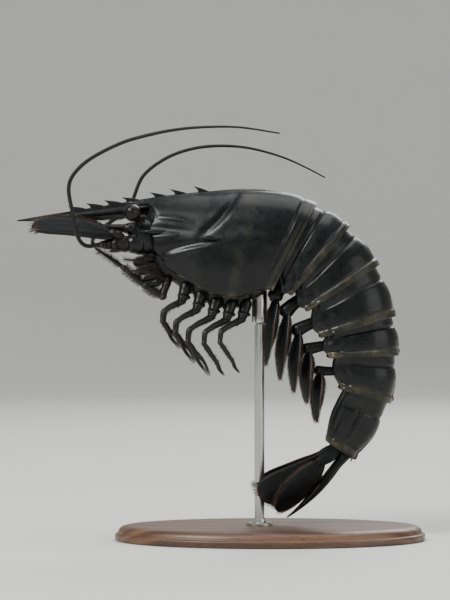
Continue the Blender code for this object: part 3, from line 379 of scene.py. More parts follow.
def spine(form, root, tip, radius, bow=None, tone=0.2):
    """A round spine with a fine tip."""
    share = np.linspace(0, 1, 10)
    form.add(*loft(tube(line(root, tip, 10, bow), radius * (1 - share) ** 0.8 + 0.05, 10)), tone)


def hang(row, drop, side, along=0.0):
    """Points of a trunk section: so far below the back, to the side, and on towards the tail."""
    pitch = math.radians(row[2])
    return np.stack([
        row[0] - math.sin(pitch) * drop + math.cos(pitch) * along, side + 0 * drop,
        row[1] - math.cos(pitch) * drop - math.sin(pitch) * along,
    ], -1)


def at(row, drop, side=0.0, along=0.0):
    return hang(row, np.array(float(drop)), np.array(float(side)), along)


COLUMNS = 9  # in each step of an outline


def round_outline(half):
    """Side and drop shares right round a section, smooth through a half outline."""
    half = np.array(half)
    ring = np.concatenate([half, half[-2:0:-1] * (-1, 1)])
    padded = np.concatenate([ring[-1:], ring, ring[:2]])
    place = np.arange(len(ring) * COLUMNS) / COLUMNS
    first = place.astype(int)
    return catmull(*(padded[first + step] for step in range(4)), (place - first)[:, None])


CARAPACE_ROUND, SOMITE_ROUND, LAST_ROUND = (
    round_outline(half) for half in (CARAPACE_OUTLINE, SOMITE_OUTLINE, LAST_OUTLINE)
)
# Each column's place on the half outline: 0 at the back, 9 at the hem and 12 at the belly.
KNOTS_ROUND = 24
KNOT = np.arange(KNOTS_ROUND * COLUMNS) / COLUMNS
KNOT = np.minimum(KNOT, KNOTS_ROUND - KNOT)
# 1 on the outer face of the shell, which ridges and grooves are cut in, and 0 on the belly.
OUTER = np.clip((HEM_KNOT - KNOT) / 0.6, 0, 1)


def trunk_ring(row, outline, scale=1.0, hem=1.0, along=0.0, bow=0.0, keel=0.0):
    """A section's ring, with its side plates cut to hem and its back raised."""
    side, share = outline.T
    middle = row[3] / 2
    cut = np.where(share < HEM_FROM, share, HEM_FROM + (share - HEM_FROM) * hem)
    drop = middle + (cut * row[3] - middle) * scale
    drop = drop - bow * np.maximum(0, 1 - 2 * share) - keel * hump(side, 0.055) * (share < HEM_FROM)
    return hang(row, drop, side * row[4] * scale, along)


def outward(rings):
    """The direction straight out of a lofted surface at each of its points."""
    along = np.gradient(rings, axis=0)
    around = np.roll(rings, -1, axis=1) - np.roll(rings, 1, axis=1)
    way = unit(np.cross(along, around))
    middle = rings.mean(1, keepdims=True)
    flip = np.sign((way * (rings - middle)).sum(-1).mean())
    return way * flip


# Finishes.


def linear(code):
    """Linear colour from an sRGB hex code."""
    parts = [int(code[i : i + 2], 16) / 255 for i in (1, 3, 5)]
    return (*(p / 12.92 if p <= 0.04045 else ((p + 0.055) / 1.055) ** 2.4 for p in parts), 1.0)


def per_metre(size):
    """The scale of a pattern whose marks are that many millimetres apart."""
    return 1 / (size * MM)


def add(tree, kind, settings=None, links=None, out=0):
    """Adds a shader node, with its settings and what feeds it, and returns what comes out of it."""
    node = tree.nodes.new("ShaderNode" + kind)
    for key, value in (settings or {}).items():
        if key == "stops":
            ramp = node.color_ramp
            while len(ramp.elements) < len(value):
                ramp.elements.new(1.0)
            for element, (place, colour) in zip(ramp.elements, value):
                element.position = place
                element.color = linear(colour)
        elif isinstance(key, int) or key in node.inputs:
            node.inputs[key].default_value = value
        else:
            setattr(node, key, value)
    for key, socket in (links or {}).items():
        tree.links.new(socket, node.inputs[key])
    return node.outputs[out]


def new_finish(name, **sockets):
    """A material, its node tree, and places on the object. Plain settings go on the shader."""
    made = bpy.data.materials.new(name)
    made.use_nodes = True
    tree = made.node_tree
    for key, value in sockets.items():
        tree.nodes["Principled BSDF"].inputs[key.replace("_", " ")].default_value = value
    return made, tree, add(tree, "TexCoord", out="Object")


def feed(tree, **sockets):
    """Links what comes out of nodes to the shader's sockets."""
    for key, socket in sockets.items():
        tree.links.new(socket, tree.nodes["Principled BSDF"].inputs[key.replace("_", " ")])


def cuticle(name, stops, mottle, pits, rough, coat, shine, depth):
    """Chitin: colours by each point's tone, mottled, with pits that break up its gloss. Mottle and
    pits are their sizes in millimetres."""
    made, tree, place = new_finish(
        name, IOR=1.5, Specular_IOR_Level=shine, Coat_Weight=coat, Coat_Roughness=0.14, Coat_IOR=1.45
    )
    tone = add(tree, "Attribute", {"attribute_name": "tone"}, out="Fac")
    cloud = add(
        tree, "TexNoise", {"Scale": per_metre(mottle), "Detail": 6.0, "Roughness": 0.62}, {"Vector": place}
    )
    spread = add(tree, "MapRange", {1: 0.3, 2: 0.7, 3: -0.24, 4: 0.3}, {0: cloud})
    mixed = add(tree, "Math", {"operation": "ADD", "use_clamp": True}, {0: tone, 1: spread})
    colour = add(tree, "ValToRGB", {"stops": stops}, {0: mixed})
    speck = add(tree, "TexVoronoi", {"Scale": per_metre(pits), "Randomness": 0.9}, {"Vector": place})
    pit = add(tree, "MapRange", {1: 0.0, 2: 0.28, 3: 0.0, 4: 1.0}, {0: speck})
    fine = add(tree, "TexNoise", {"Scale": per_metre(pits * 0.45), "Detail": 4.0}, {"Vector": place})
    height = add(tree, "Math", {"operation": "MULTIPLY_ADD", 1: 0.5}, {0: fine, 2: pit})
    bump = add(tree, "Bump", {"Strength": 0.32, "Distance": depth * MM}, {"Height": height})
    wear = add(tree, "TexNoise", {"Scale": per_metre(mottle * 0.4), "Detail": 5.0}, {"Vector": place})
    gloss = add(tree, "MapRange", {1: 0.3, 2: 0.7, 3: rough[0], 4: rough[1]}, {0: wear})
    feed(tree, Base_Color=colour, Normal=bump, Roughness=gloss)
    return made


def bristle_chitin():
    """Hairs: fine bristles of chitin, brown where light passes through them."""
    made, tree, place = new_finish("bristles", IOR=1.55, Roughness=0.42, Coat_Weight=0.1)
    tuft = add(tree, "TexNoise", {"Scale": per_metre(2.0), "Detail": 2.0}, {"Vector": place})
    feed(tree, Base_Color=add(tree, "ValToRGB", {"stops": ((0.3, "#17110E"), (0.7, "#4A3122"))}, {0: tuft}))
    return made


def eye_cornea():
    """Cornea: clear hard lens over black pigment, polished, with a net of facets. Real facets are
    0.06 mm wide, and are drawn at 0.3 mm so that they show."""
    made, tree, place = new_finish(
        "eye_cornea", IOR=1.5, Roughness=0.3, Coat_Weight=0.12, Coat_Roughness=0.12, Specular_IOR_Level=0.22
    )
    facet = add(tree, "TexVoronoi", {"Scale": per_metre(0.3), "Randomness": 0.25}, {"Vector": place})
    shade = add(tree, "ValToRGB", {"stops": ((0.0, "#060607"), (1.0, "#15110F"))}, {0: facet})
    bump = add(tree, "Bump", {"Strength": 0.5, "Distance": 0.08 * MM, "invert": True}, {"Height": facet})
    feed(tree, Base_Color=shade, Normal=bump)
    return made


def waxed_walnut():
    """The base: walnut, turned and wax polished. Growth rings 2.4 mm apart run along X, with pores
    of 0.5 mm by 6 mm that catch the light."""
    made, tree, place = new_finish("waxed_walnut", IOR=1.5, Coat_Weight=0.22, Coat_Roughness=0.25)
    lie = add(
        tree, "Mapping",
        {"Location": (0.0, 0.031, 0.024), "Rotation": (0.05, 0.07, 0.09), "Scale": (0.08, 1.0, 1.0)},
        {"Vector": place},
    )
    swirl = add(tree, "TexNoise", {"Scale": per_metre(9.0), "Detail": 5.0}, {"Vector": lie})
    rings = add(
        tree, "TexWave",
        {"Scale": per_metre(2.4) / math.tau, "Distortion": 3.5, "Detail": 4.0, "Detail Scale": 0.8,
         "Detail Roughness": 0.6, "wave_type": "RINGS", "rings_direction": "X"},
        {"Vector": lie},
    )
    blend = add(tree, "Math", {"operation": "MULTIPLY", 1: 0.32}, {0: rings})
    both = add(tree, "Math", {"operation": "MULTIPLY_ADD", 1: 0.8}, {0: swirl, 2: blend})
    stops = ((0.25, "#3B261A"), (0.45, "#4E3322"), (0.62, "#61422C"), (0.85, "#755238"))
    colour = add(tree, "ValToRGB", {"stops": stops}, {0: both})
    pore = add(tree, "TexNoise", {"Scale": per_metre(0.5), "Detail": 2.0, "Roughness": 0.7}, {"Vector": lie})
    filled = add(tree, "MapRange", {1: 0.36, 2: 0.46, 3: 0.0, 4: 1.0}, {0: pore})
    dark = add(tree, "MixRGB", {"blend_type": "MULTIPLY", "Fac": 0.55}, {1: colour, 2: filled})
    bump = add(tree, "Bump", {"Strength": 0.3, "Distance": 0.12 * MM}, {"Height": filled})
    gloss = add(tree, "MapRange", {1: 0.3, 2: 0.7, 3: 0.36, 4: 0.5}, {0: swirl})
    feed(tree, Base_Color=dark, Normal=bump, Roughness=gloss)
    return made


def brushed_steel():
    """The rod: stainless steel bar, brushed along its length with marks 0.3 mm apart, coarser than
    real ones so that they show."""
    made, tree, place = new_finish("brushed_steel", Metallic=1.0, Base_Color=linear("#B9B9B5"))
    drawn = add(tree, "Mapping", {"Scale": (1.0, 1.0, 0.03)}, {"Vector": place})
    scratch = add(tree, "TexNoise", {"Scale": per_metre(0.3), "Detail": 4.0}, {"Vector": drawn})
    bump = add(tree, "Bump", {"Strength": 0.25, "Distance": 0.04 * MM}, {"Height": scratch})
    gloss = add(tree, "MapRange", {1: 0.3, 2: 0.7, 3: 0.2, 4: 0.4}, {0: scratch})
    feed(tree, Normal=bump, Roughness=gloss)
    return made


def matt_paper():
    """The floor: matt seamless paper, with a barely seen tooth."""
    made, tree, place = new_finish("matt_paper", IOR=1.45, Roughness=0.9)
    tooth = add(tree, "TexNoise", {"Scale": per_metre(1.5), "Detail": 3.0}, {"Vector": place})
    feed(tree, Base_Color=add(tree, "ValToRGB", {"stops": ((0.2, "#D3D3CF"), (0.8, "#D9D9D5"))}, {0: tooth}))
    return made


FINISHES = {
    # Cuticle of the back and side plates: chitin, dried and varnished. Near black with a cold cast,
    # olive where a plate thins at its rim, and a broken satin gloss from its pits.
    "shell": cuticle(
        "varnished_shell_cuticle", ((0.0, "#060709"), (0.3, "#0F1112"), (0.6, "#2A291F"), (1.0, "#5E5339")),
        7.0, 0.7, (0.24, 0.4), 0.16, 0.24, 0.12,
    ),
    # Cuticle of legs, feelers and stalks: thinner and browner, with a softer shine.
    "limb": cuticle(
        "limb_cuticle", ((0.0, "#0B0B0C"), (0.35, "#151312"), (0.65, "#30271E"), (1.0, "#6A5238")),
        3.0, 0.5, (0.32, 0.5), 0.08, 0.26, 0.07,
    ),
    # Cuticle of the tail fan and scales: thin blades, satin, red-brown where light passes their rims.
    "fan": cuticle(
        "fan_cuticle", ((0.0, "#08090B"), (0.35, "#101214"), (0.65, "#28201B"), (1.0, "#63402A")),
        5.0, 0.6, (0.4, 0.6), 0.0, 0.16, 0.09,
    ),
    # Soft skin inside the joints: unhardened cuticle, dull and wrinkled, paler than the plates.
    "membrane": cuticle(
        "joint_membrane", ((0.0, "#221F1C"), (0.5, "#3A322A"), (1.0, "#5C4C3B")),
        2.0, 0.35, (0.5, 0.66), 0.0, 0.3, 0.1,
    ),
    "hair": bristle_chitin(),
    "eye": eye_cornea(),
    "wood": waxed_walnut(),
    "steel": brushed_steel(),
    "paper": matt_paper(),
}


def make_object(name, form, finish, sharp=50):
    """One object from a form in millimetres."""
    points = np.concatenate(form.points) * MM
    mesh = bpy.data.meshes.new(name)
    mesh.from_pydata(points.tolist(), [], form.faces)
    shape = bmesh.new()
    shape.from_mesh(mesh)
    bmesh.ops.recalc_face_normals(shape, faces=shape.faces)
    shape.to_mesh(mesh)
    shape.free()
    mesh.attributes.new("tone", "FLOAT", "POINT").data.foreach_set("value", np.concatenate(form.tones))
    if form.places:
        spots = np.concatenate(form.places)
        corners = np.zeros(len(mesh.loops), int)
        mesh.loops.foreach_get("vertex_index", corners)
        mesh.uv_layers.new(name="OFBake").data.foreach_set("uv", spots[corners].ravel())
    mesh.shade_smooth()
    mesh.set_sharp_from_angle(angle=math.radians(sharp))
    mesh.materials.append(FINISHES[finish])
    made = bpy.data.objects.new(name, mesh)
    bpy.context.scene.collection.objects.link(made)
    return made


def add_piece(name, form, finish, nodes=(), sharp=50):
    """An object that rides on the model, and stands for the CAD nodes named."""
    made = make_object(name, form, finish, sharp)
    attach(made, "root")
    if nodes:
        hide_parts(*nodes)


def add_limb(kind, which, form, soft, hair):
    """The hard lengths of a limb, the soft skin in its joints, and its hairs."""
    add_piece(f"{kind}_{which}", form, "limb", [f"{kind}_{which}"])
    add_piece(f"{kind}_joints_{which}", soft, "membrane")
    add_piece(f"{kind}_hairs_{which}", hair, "hair")


# Hairs.

# A hair's length as a share of the given one, how far its way strays, and the radii of fine ones.
HAIR_SHARE, HAIR_STRAY = (0.8, 1.12), 0.07
FINE_HAIR, FINEST_HAIR = 0.055, 0.05
# Hairs' colours are kept on strips of the unwrap, each hair on a patch. A strip's breadth, where it
# starts and its length, and a hair's patch.
STRIP, STRIP_START, STRIP_LENGTH = 0.02, 0.02, 0.95
HAIR_PATCH = np.array(((0, 0), (1, 0), (0.5, 1), (0, 0.5), (1, 0.5), (0.5, 0.8), (0.5, 0.5))) * 0.003
# The sides and the ends of a three-sided hair, by its points from root to tip.
HAIR_SIDES = np.array([(0, 1, 4, 3), (1, 2, 5, 4), (2, 0, 3, 5)])
HAIR_ENDS = np.array([(2, 1, 0), (3, 4, 6), (4, 5, 6), (5, 3, 6)])


def bristles(form, roots, ways, lengths, radius, place=None):
    """Fine tapered hairs, each three-sided. Without a place, they lie by their roots' reach along a
    strip of the skin's unwrap, which is the next free one."""
    roots, ways = np.asarray(roots, float), unit(np.asarray(ways, float))
    many = len(roots)
    lengths = np.broadcast_to(lengths, many)[:, None] * CHANCE.uniform(*HAIR_SHARE, (many, 1))
    ways = unit(ways + CHANCE.normal(0, HAIR_STRAY, (many, 3)))
    across = unit(np.cross(ways, unit(ways[:, [1, 2, 0]] + 0.3)))
    other = np.cross(ways, across)
    turn = np.arange(3) * math.tau / 3
    rim = across[:, None] * np.cos(turn)[:, None] + other[:, None] * np.sin(turn)[:, None]
    middle, tip = roots + ways * 0.5 * lengths, roots + ways * lengths
    points = np.concatenate(
        [roots[:, None] + rim * radius, middle[:, None] + rim * radius * 0.7, tip[:, None]], axis=1
    )
    start = (np.arange(many) * 7)[:, None, None]
    faces = (HAIR_SIDES + start).reshape(-1, 4).tolist() + (HAIR_ENDS + start).reshape(-1, 3).tolist()
    if place is None:
        first = roots[np.linalg.norm(roots - roots.mean(0), axis=1).argmax()]
        reach = np.linalg.norm(roots - first, axis=1)
        strip = np.full(many, 0.01 + STRIP * form.strips)
        place = np.stack([STRIP_START + STRIP_LENGTH * reach / (reach.max() + 1e-9), strip], -1)
        form.strips = (form.strips + 1) % int(1 / STRIP)
    form.add(points, faces, 0.0, (place[:, None] + HAIR_PATCH).reshape(-1, 2))


def limb_hairs(form, start, end, way, many, length, out):
    """Short hairs down one side of a limb's length."""
    place = CHANCE.uniform(0.1, 0.95, many)[:, None]
    roots = start + (end - start) * place + np.asarray(way) * out
    bristles(form, roots, np.asarray(way) + unit(end - start) * 0.7, length, FINE_HAIR)


# Blades: scales, swimming legs, tail fan.


RIDGE_FADE = 0.65  # how much of a blade's ridges is gone at its tip


def blade(form, surface, outline, thick, ridges=(), steps=64, columns=22, tone=(0.0, 0.0), root=None):
    """A thin closed blade on surface(share, across, height), and a function for points on its edges.
    Its ridges, which are placed across it, fade towards the tip."""
    share = np.linspace(0, 1, steps)[:, None]
    across = np.sin(np.linspace(-math.pi / 2, math.pi / 2, columns))[None]
    half = thick(share) / 2 * np.sqrt(1.02 - across**4)
    crest = relief(across, ridges) * (1 - RIDGE_FADE * share)
    wide = across * flow(outline, share)
    low = surface(share, wide, -half - crest * 0.3)
    rings = np.concatenate([surface(share, wide, half + crest), low[:, ::-1]], axis=1)
    edge = tone[0] + tone[1] * (hump(np.abs(across) - 1.0, 0.22) + hump(share - 1.0, 0.12) + 0 * across)
    edge = np.concatenate([edge, edge[:, ::-1]], axis=1)
    if root is not None:
        rings = np.concatenate([root(across[0]), rings])
        edge = np.concatenate([np.full((len(rings) - steps, 2 * columns), tone[0]), edge])
    form.add(*loft(rings), np.concatenate([edge.ravel(), [tone[0], tone[0]]]))

    def rim(places, way):
        """Points on one edge, and the ways out of it and on along the blade."""
        places = np.asarray(places)[:, None]
        here = surface(places, way * flow(outline, places), 0.0)[:, 0]
        inside = surface(places, way * flow(outline, places) * 0.9, 0.0)[:, 0]
        ahead = surface(places + 0.01, 0 * places, 0.0) - surface(places - 0.01, 0 * places, 0.0)
        return here, unit(here - inside), unit(ahead[:, 0])

    return rim


def fringe(form, rim, spans, length, spacing, radius=0.075, rows=2, sheet=0):
    """Rows of hairs on a blade's edges. Each span is an edge and the shares where they start and end."""
    for way, first, last in spans:
        run = rim(np.linspace(first, last, 40), way)[0]
        many = int(reach_along(run)[-1] / spacing)
        for row in range(rows):
            places = np.linspace(first, last, many) + CHANCE.uniform(-0.3, 0.3, many) * (last - first) / many
            here, out, ahead = rim(places, way)
            lean = (0.75 + 1.3 * places**2)[:, None]
            share = np.clip((places - first) / (last - first + 1e-9), 0, 1)
            full = np.sin(share**0.6 * math.pi * 0.86 + 0.25)
            strip = np.full(many, 0.1 + 0.3 * (way > 0) + 0.04 * row + 0.08 * sheet)
            bristles(
                form, here - out * 0.15, out + ahead * lean, length * (0.55 + 0.45 * full), radius,
                np.stack([STRIP_START + STRIP_LENGTH * places, strip], -1),
            )


def leaf_surface(start, end, broad, lift, half_width, bow, lie):
    """The surface of a leaf that bows out between its ends, with its height there from lie."""

    def surface(share, across, height):
        centre = start + (end - start) * share[..., None] + lift * (bow * np.sin(math.pi * share))[..., None]
        height = lie(share, across, height)[..., None]
        return centre + broad * (across * half_width)[..., None] + lift * height

    return surface


# A blade's edge is the share of its length and of its half width there, and a girth is the share of
# a length and the radius there.
SCALE_EDGE = (
    (0.0, 0.36), (0.1, 0.7), (0.3, 0.94), (0.55, 1.0), (0.8, 0.88), (0.92, 0.66), (0.975, 0.42), (1.0, 0.14),
)
SCALE_RIBS = (
    (0.66, 0.09, 0.7), (0.86, 0.06, 0.4), (0.4, 0.06, 0.28), (0.16, 0.05, 0.26), (-0.08, 0.07, 0.34),
    (-0.32, 0.05, 0.24), (-0.55, 0.05, 0.2),
)
THORN_GIRTH = ((0, 0.1), (0.5, 0.42), (0.7, 0.46), (1, 0.05))


def build_scale(name, side):
    """The stiff blade beside the feeler's root, ribbed and spined along its straight outer edge."""
    start, end = mirrored(SCALE_ROOT, side), mirrored(SCALE_ROOT + SCALE_SPAN, side)
    tilt = math.radians(SCALE_TILT)
    out = np.array((0, side * math.cos(tilt), -math.sin(tilt)))
    lift = np.array((0, side * math.sin(tilt), math.cos(tilt)))

    def surface(share, across, height):
        aside = (1 - flow(SCALE_EDGE, share)) * SCALE_HALF_WIDTH / 2
        centre = start + (end - start) * share[..., None] + out * aside[..., None]
        centre = centre + lift * (SCALE_CAMBER * np.sin(math.pi * np.clip(share, 0, 1)))[..., None]
        height = height + 0.25 * across**2
        return centre + out * (across * SCALE_HALF_WIDTH)[..., None] + lift * (height + 0 * across)[..., None]

    form, hair = Form(), Form()
    rim = blade(form, surface, SCALE_EDGE, lambda share: 1.0 - 0.55 * share, SCALE_RIBS, 96, 60, (0.05, 0.4))
    share = np.linspace(0.55, 1.0, 24)[:, None]
    thorn = start + (end - start) * share + out * SCALE_HALF_WIDTH * (0.96 - 0.12 * share)
    rod(form, thorn + lift * SCALE_CAMBER * np.sin(math.pi * share), THORN_GIRTH, 12, 0.3)
    spine(form, start + (end - start) * 0.04 - lift * 0.3, start - (end - start) * 0.06 - lift * 0.5, 1.5)
    fringe(hair, rim, ((-1.0, 0.1, 1.0), (1.0, 0.93, 1.0)), 3.4, 0.22)
    add_piece("antennal_scale_" + name, form, "fan", ["antennal_scale_" + name])
    add_piece("scale_fringe_" + name, hair, "hair")


def pleopod_path(number, side):
    """The root, knee and tip of a swimming leg, and the way down from its somite."""
    row = JOINTS[number - 1] + (JOINTS[number] - JOINTS[number - 1]) * 0.56
    root = at(row, row[3] * 0.78 + 1.4, side * row[4] * PLEOPOD_HIP_SIDE)
    down = at(row, 1.0) - at(row, 0.0)
    knee = root + down * PLEOPOD_SHAFTS[number - 1] + np.array((-1.0, side * 0.5, -1.0))
    return root, knee, mirrored(PLEOPOD_TIPS[number - 1], side), down


RAMUS_OUTLINE = (
    (0.0, 0.42), (0.12, 0.78), (0.3, 1.0), (0.5, 0.98), (0.7, 0.78), (0.87, 0.5), (1.0, 0.14),
)
# A swimming leg's shaft ends in a round knee, which its leaves grow from.
SHAFT_GIRTH = ((0.0, 0.7), (0.12, 0.86), (0.35, 0.94), (0.62, 1.04), (0.84, 1.08), (0.95, 0.9), (1.0, 0.62))


def build_pleopod(name, side, number):
    """A swimming leg: a stout shaft, a long outer leaf and a shorter inner one, fringed."""
    root, knee, tip, down = pleopod_path(number, side)
    thick = JOINTS[number][4] * PLEOPOD_THICK
    form, hair, soft = Form(), Form(), Form()
    skin(soft, root - down * 0.6, 1.3 * thick, 12)
    shaft = knee - root
    hip = root + shaft * 0.26
    segment(form, root - down * 1.6, hip, thick * 1.15, thick * 1.15, 1.1, tone=0.05)
    segment(
        form, hip - shaft * 0.04, knee + shaft * 0.03, thick * 1.1, thick * 1.12, 1.25, bow=(-0.7, 0, 0),
        tone=-0.2, girth=SHAFT_GIRTH,
    )
    for way in (np.array((-1.0, 0, -0.3)), np.array((0, side, 0))):
        limb_hairs(hair, root + shaft * 0.3, root + shaft * 0.96, unit(way), 26, 1.3, thick)
    for leaf, (out, ahead, share, half_width, bow) in enumerate(PLEOPOD_RAMI):
        start = knee + (root - knee) * 0.14 + np.array((0, side * out * 0.4, 0))
        end = start + (tip + np.array((ahead, side * out, 0)) - start) * share
        way = unit(end - start)
        broad = np.array((0.62, side * 0.78, 0.0))
        broad = unit(broad - way * (broad @ way))
        lift = unit(np.cross(end - start, broad))
        lift = lift * (1 if lift[0] > 0 else -1)

        def lie(share, across, height):
            rings = 0.05 * np.cos(share * math.tau * np.linalg.norm(end - start) / 1.25)
            return height * (1 + rings * 3) + 0.16 * across * np.sin(share * 9.0 + number)

        rim = blade(
            form, leaf_surface(start, end, broad, lift, half_width, bow, lie), RAMUS_OUTLINE,
            lambda share: 1.1 - 0.75 * share, ((0.0, 0.22, 0.3),), 110, 14, (0.0, 0.3),
        )
        spans = ((-1.0, 0.16, 1.0), (1.0, 0.16, 1.0))
        fringe(hair, rim, spans, 2.5 if leaf == 0 else 1.9, 0.26, 0.07, sheet=leaf)
        ball(soft, start, (thick * 0.75,) * 3, 0.3, 8)
    add_limb("pleopod", f"{number}_{name}", form, soft, hair)


def fan_radius(reach):
    return FAN_RADIUS + FAN_SWELL * np.sin(FAN_WAVE * np.asarray(reach) / FAN_LENGTH)


def fan_point(reach, angle, layer=0.0):
    """A point on the fan's cone: so far along, so many degrees round from the back."""
    fall = math.radians(FAN_PITCH)
    run = np.array((math.cos(fall), 0, -math.sin(fall)))
    back = np.array((math.sin(fall), 0, math.cos(fall)))
    radius = fan_radius(reach) + layer
    turn = np.radians(angle)
    rim = back * np.cos(turn)[..., None] + np.array((0, 1, 0)) * np.sin(turn)[..., None]
    return FAN_START + run * np.asarray(reach)[..., None] + rim * radius[..., None]


def fan_surface(spec, side):
    """The surface that a fan blade lies on."""
    first, last, angle, half_width, layer, _, power = spec

    def surface(share, across, height):
        reach = first + (last - first) * share + 0 * across
        radius = fan_radius(reach) + layer
        root_turn = (STEM_TURN - angle) * (angle > 0) * (1 - np.clip(share, 0, 1)) ** power
        turn = angle + root_turn + np.degrees(across * half_width / radius)
        return fan_point(reach, side * turn, layer + height + 0.12 * np.sin(share * 7 + across * 2))

    return surface


def fan_thickness(spec):
    thick = spec[5]
    return lambda share: thick * (1 - share**FAN_TAPER) + FAN_TIP_THICK * share


TELSON_EDGE = ((0.0, 0.88), (0.15, 0.98), (0.35, 0.98), (0.6, 0.78), (0.8, 0.52), (0.93, 0.25), (1.0, 0.07))
TELSON_RIDGES = ((-0.3, 0.13, 0.6), (0.3, 0.13, 0.6), (-0.8, 0.12, 0.25), (0.8, 0.12, 0.25))
TELSON_ROOT = (0.9, 5.0, 3.8)  # outer and inner drop, and half width, on the last somite's end
EXOPOD_EDGE = (
    (0.0, 0.28), (0.1, 0.4), (0.25, 0.6), (0.5, 0.85), (0.74, 1.0), (0.88, 0.9), (0.96, 0.58), (1.0, 0.24),
)
EXOPOD_RIDGES = ((0.12, 0.07, 0.4), (0.0, 0.05, 0.25), (0.86, 0.1, 0.5))
ENDOPOD_EDGE = (
    (0.0, 0.3), (0.1, 0.5), (0.25, 0.8), (0.5, 1.0), (0.75, 0.92), (0.9, 0.66), (0.97, 0.4), (1.0, 0.16),
)
ENDOPOD_RIDGES = ((0.05, 0.08, 0.45), (-0.1, 0.06, 0.25))
STEM_GIRTH = ((0, 2.3), (0.3, 2.75), (0.7, 2.9), (1, 2.0))
STEM_KNEE = (6.6, STEM_TURN, -0.4)  # reach, degrees and layer on the cone


def fan_blade(form, spec, side, outline, ridges, *fineness, tone, root=None):
    """A blade of the tail fan, whose ridges are placed towards its outer edge."""
    surface = fan_surface(spec, side)
    return blade(form, surface, outline, fan_thickness(spec), ridges, *fineness, tone=tone, root=root)


def build_telson():
    """The pointed middle blade of the fan, with a groove down its middle between two ridges."""
    form, hair = Form(), Form()
    outer, inner, half_width = TELSON_ROOT

    def root(across):
        rings = []
        for along in (-1.5, 0.3):
            side = across * half_width
            top = hang(JOINTS[-1], outer + np.abs(side) / 3, side, along)
            low = hang(JOINTS[-1], inner + 0 * side, side, along)
            rings.append(np.concatenate([top, low[::-1]]))
        return np.array(rings)

    rim = fan_blade(form, TELSON, 1.0, TELSON_EDGE, TELSON_RIDGES, tone=(0.0, 0.35), root=root)
    fringe(hair, rim, ((-1.0, 0.35, 0.97), (1.0, 0.35, 0.97)), 2.0, 0.24)
    add_piece("telson", form, "fan", ["telson"])
    add_piece("telson_fringe", hair, "hair")


def build_uropod(name, side):
    """The side of the tail fan: a short stem, and an inner and an outer blade, both fringed."""
    form, hair, soft = Form(), Form(), Form()
    last = JOINTS[-1]
    hip, joint, heel = (at(last, last[3] * 0.6, side * 3.0, along) for along in (-1.2, 0.2, 1.9))
    reach, turn, layer = STEM_KNEE
    knee = fan_point(reach, side * turn, layer)
    path = through([hip, heel, heel + (knee - heel) * 0.5, knee], np.linspace(0, 3, 24))
    rod(form, path, STEM_GIRTH, 20, 0.05)
    thorn = knee + (knee - heel) * 0.25 + np.array((0, side * 1.6, -0.6))
    spine(form, knee + (heel - knee) * 0.35, thorn, 1.0)
    outer = fan_blade(form, EXOPOD, side, EXOPOD_EDGE, EXOPOD_RIDGES, 80, 26, tone=(0.0, 0.5))
    inner = fan_blade(form, ENDOPOD, side, ENDOPOD_EDGE, ENDOPOD_RIDGES, 80, 24, tone=(0.0, 0.5))
    edge, out, ahead = outer([0.8, 0.9], 1.0)
    spine(form, edge[0] - out[0] * 0.5, edge[1] + ahead[1] * 0.8, 0.5)
    fringe(hair, outer, ((-1.0, 0.14, 1.0), (1.0, 0.88, 1.0)), 3.0, 0.22)
    fringe(hair, inner, ((-1.0, 0.14, 1.0), (1.0, 0.14, 1.0)), 2.6, 0.22, sheet=1)
    skin(soft, joint, 2.2, 12)
    add_piece("uropod_" + name, form, "fan", ["uropod_" + name])
    add_piece("uropod_fringe_" + name, hair, "hair")
    add_piece("uropod_joint_" + name, soft, "membrane")


# Trunk.


def rim_rings(row, outline, steps, hem=1.0):
    """Rings that turn an edge of a plate inwards: each step is its scale and how far along it is."""
    return [trunk_ring(row, outline, scale, hem, along) for scale, along in steps]


# Front edge of the carapace: how far back it is cut at each point of the half outline. It runs out
# over the rostrum's root, back round the eye, on at the antennal spine, and back under the cheek.
ORBIT_EDGE = (
    (0.0, -8.5), (0.5, -5.2), (1.0, -2.2), (1.5, 0.0), (2.0, 1.3), (3.0, 2.7), (4.0, 1.9), (5.0, -0.6),
    (5.6, 0.3), (7.0, 0.3), (8.0, 1.6), (9.0, 3.4), (10.0, 2.4), (12.0, 2.0),
)
ORBIT_AXIS = at(CARAPACE[0], 0, 0, 1.0) - at(CARAPACE[0], 0)
# Scale of each ring of a rolled edge, and how far along it is.
FRONT_RIM = ((0.84, 7.0), (0.9, 2.5), (0.935, 0.9), (0.95, 0.3), (0.965, 0.02), (0.985, 0.02))
REAR_RIM = ((1.0, 0.6), (1.006, 1.0), (1.004, 1.3), (0.99, 1.42), (0.972, 1.3), (0.962, 0.6), (0.955, -4.0))
SOMITE_TUCK = ((0.84, -4.2), (0.895, -2.4), (0.92, -0.9))
SOMITE_RIM = (
    (1.035, 0.6), (1.038, 1.0), (1.034, 1.28), (1.02, 1.42), (1.0, 1.35), (0.985, 0.8), (0.975, -0.5),
    (0.96, -4.0),
)
LAST_RIM = ((1.03, 0.25), (1.0, 0.45), (0.94, 0.4), (0.88, 0.1), (0.8, -0.9))
# Paler bands across the carapace, by station, and across a somite, by share of its length: place,
# width and tone.
CARAPACE_BANDS = ((2.4, 0.3, 0.24), (4.6, 0.4, 0.34), (6.85, 0.16, 0.5), (0.0, 0.1, 0.3))
SOMITE_BANDS = ((0.96, 0.12, 0.52), (0.16, 0.14, 0.26))
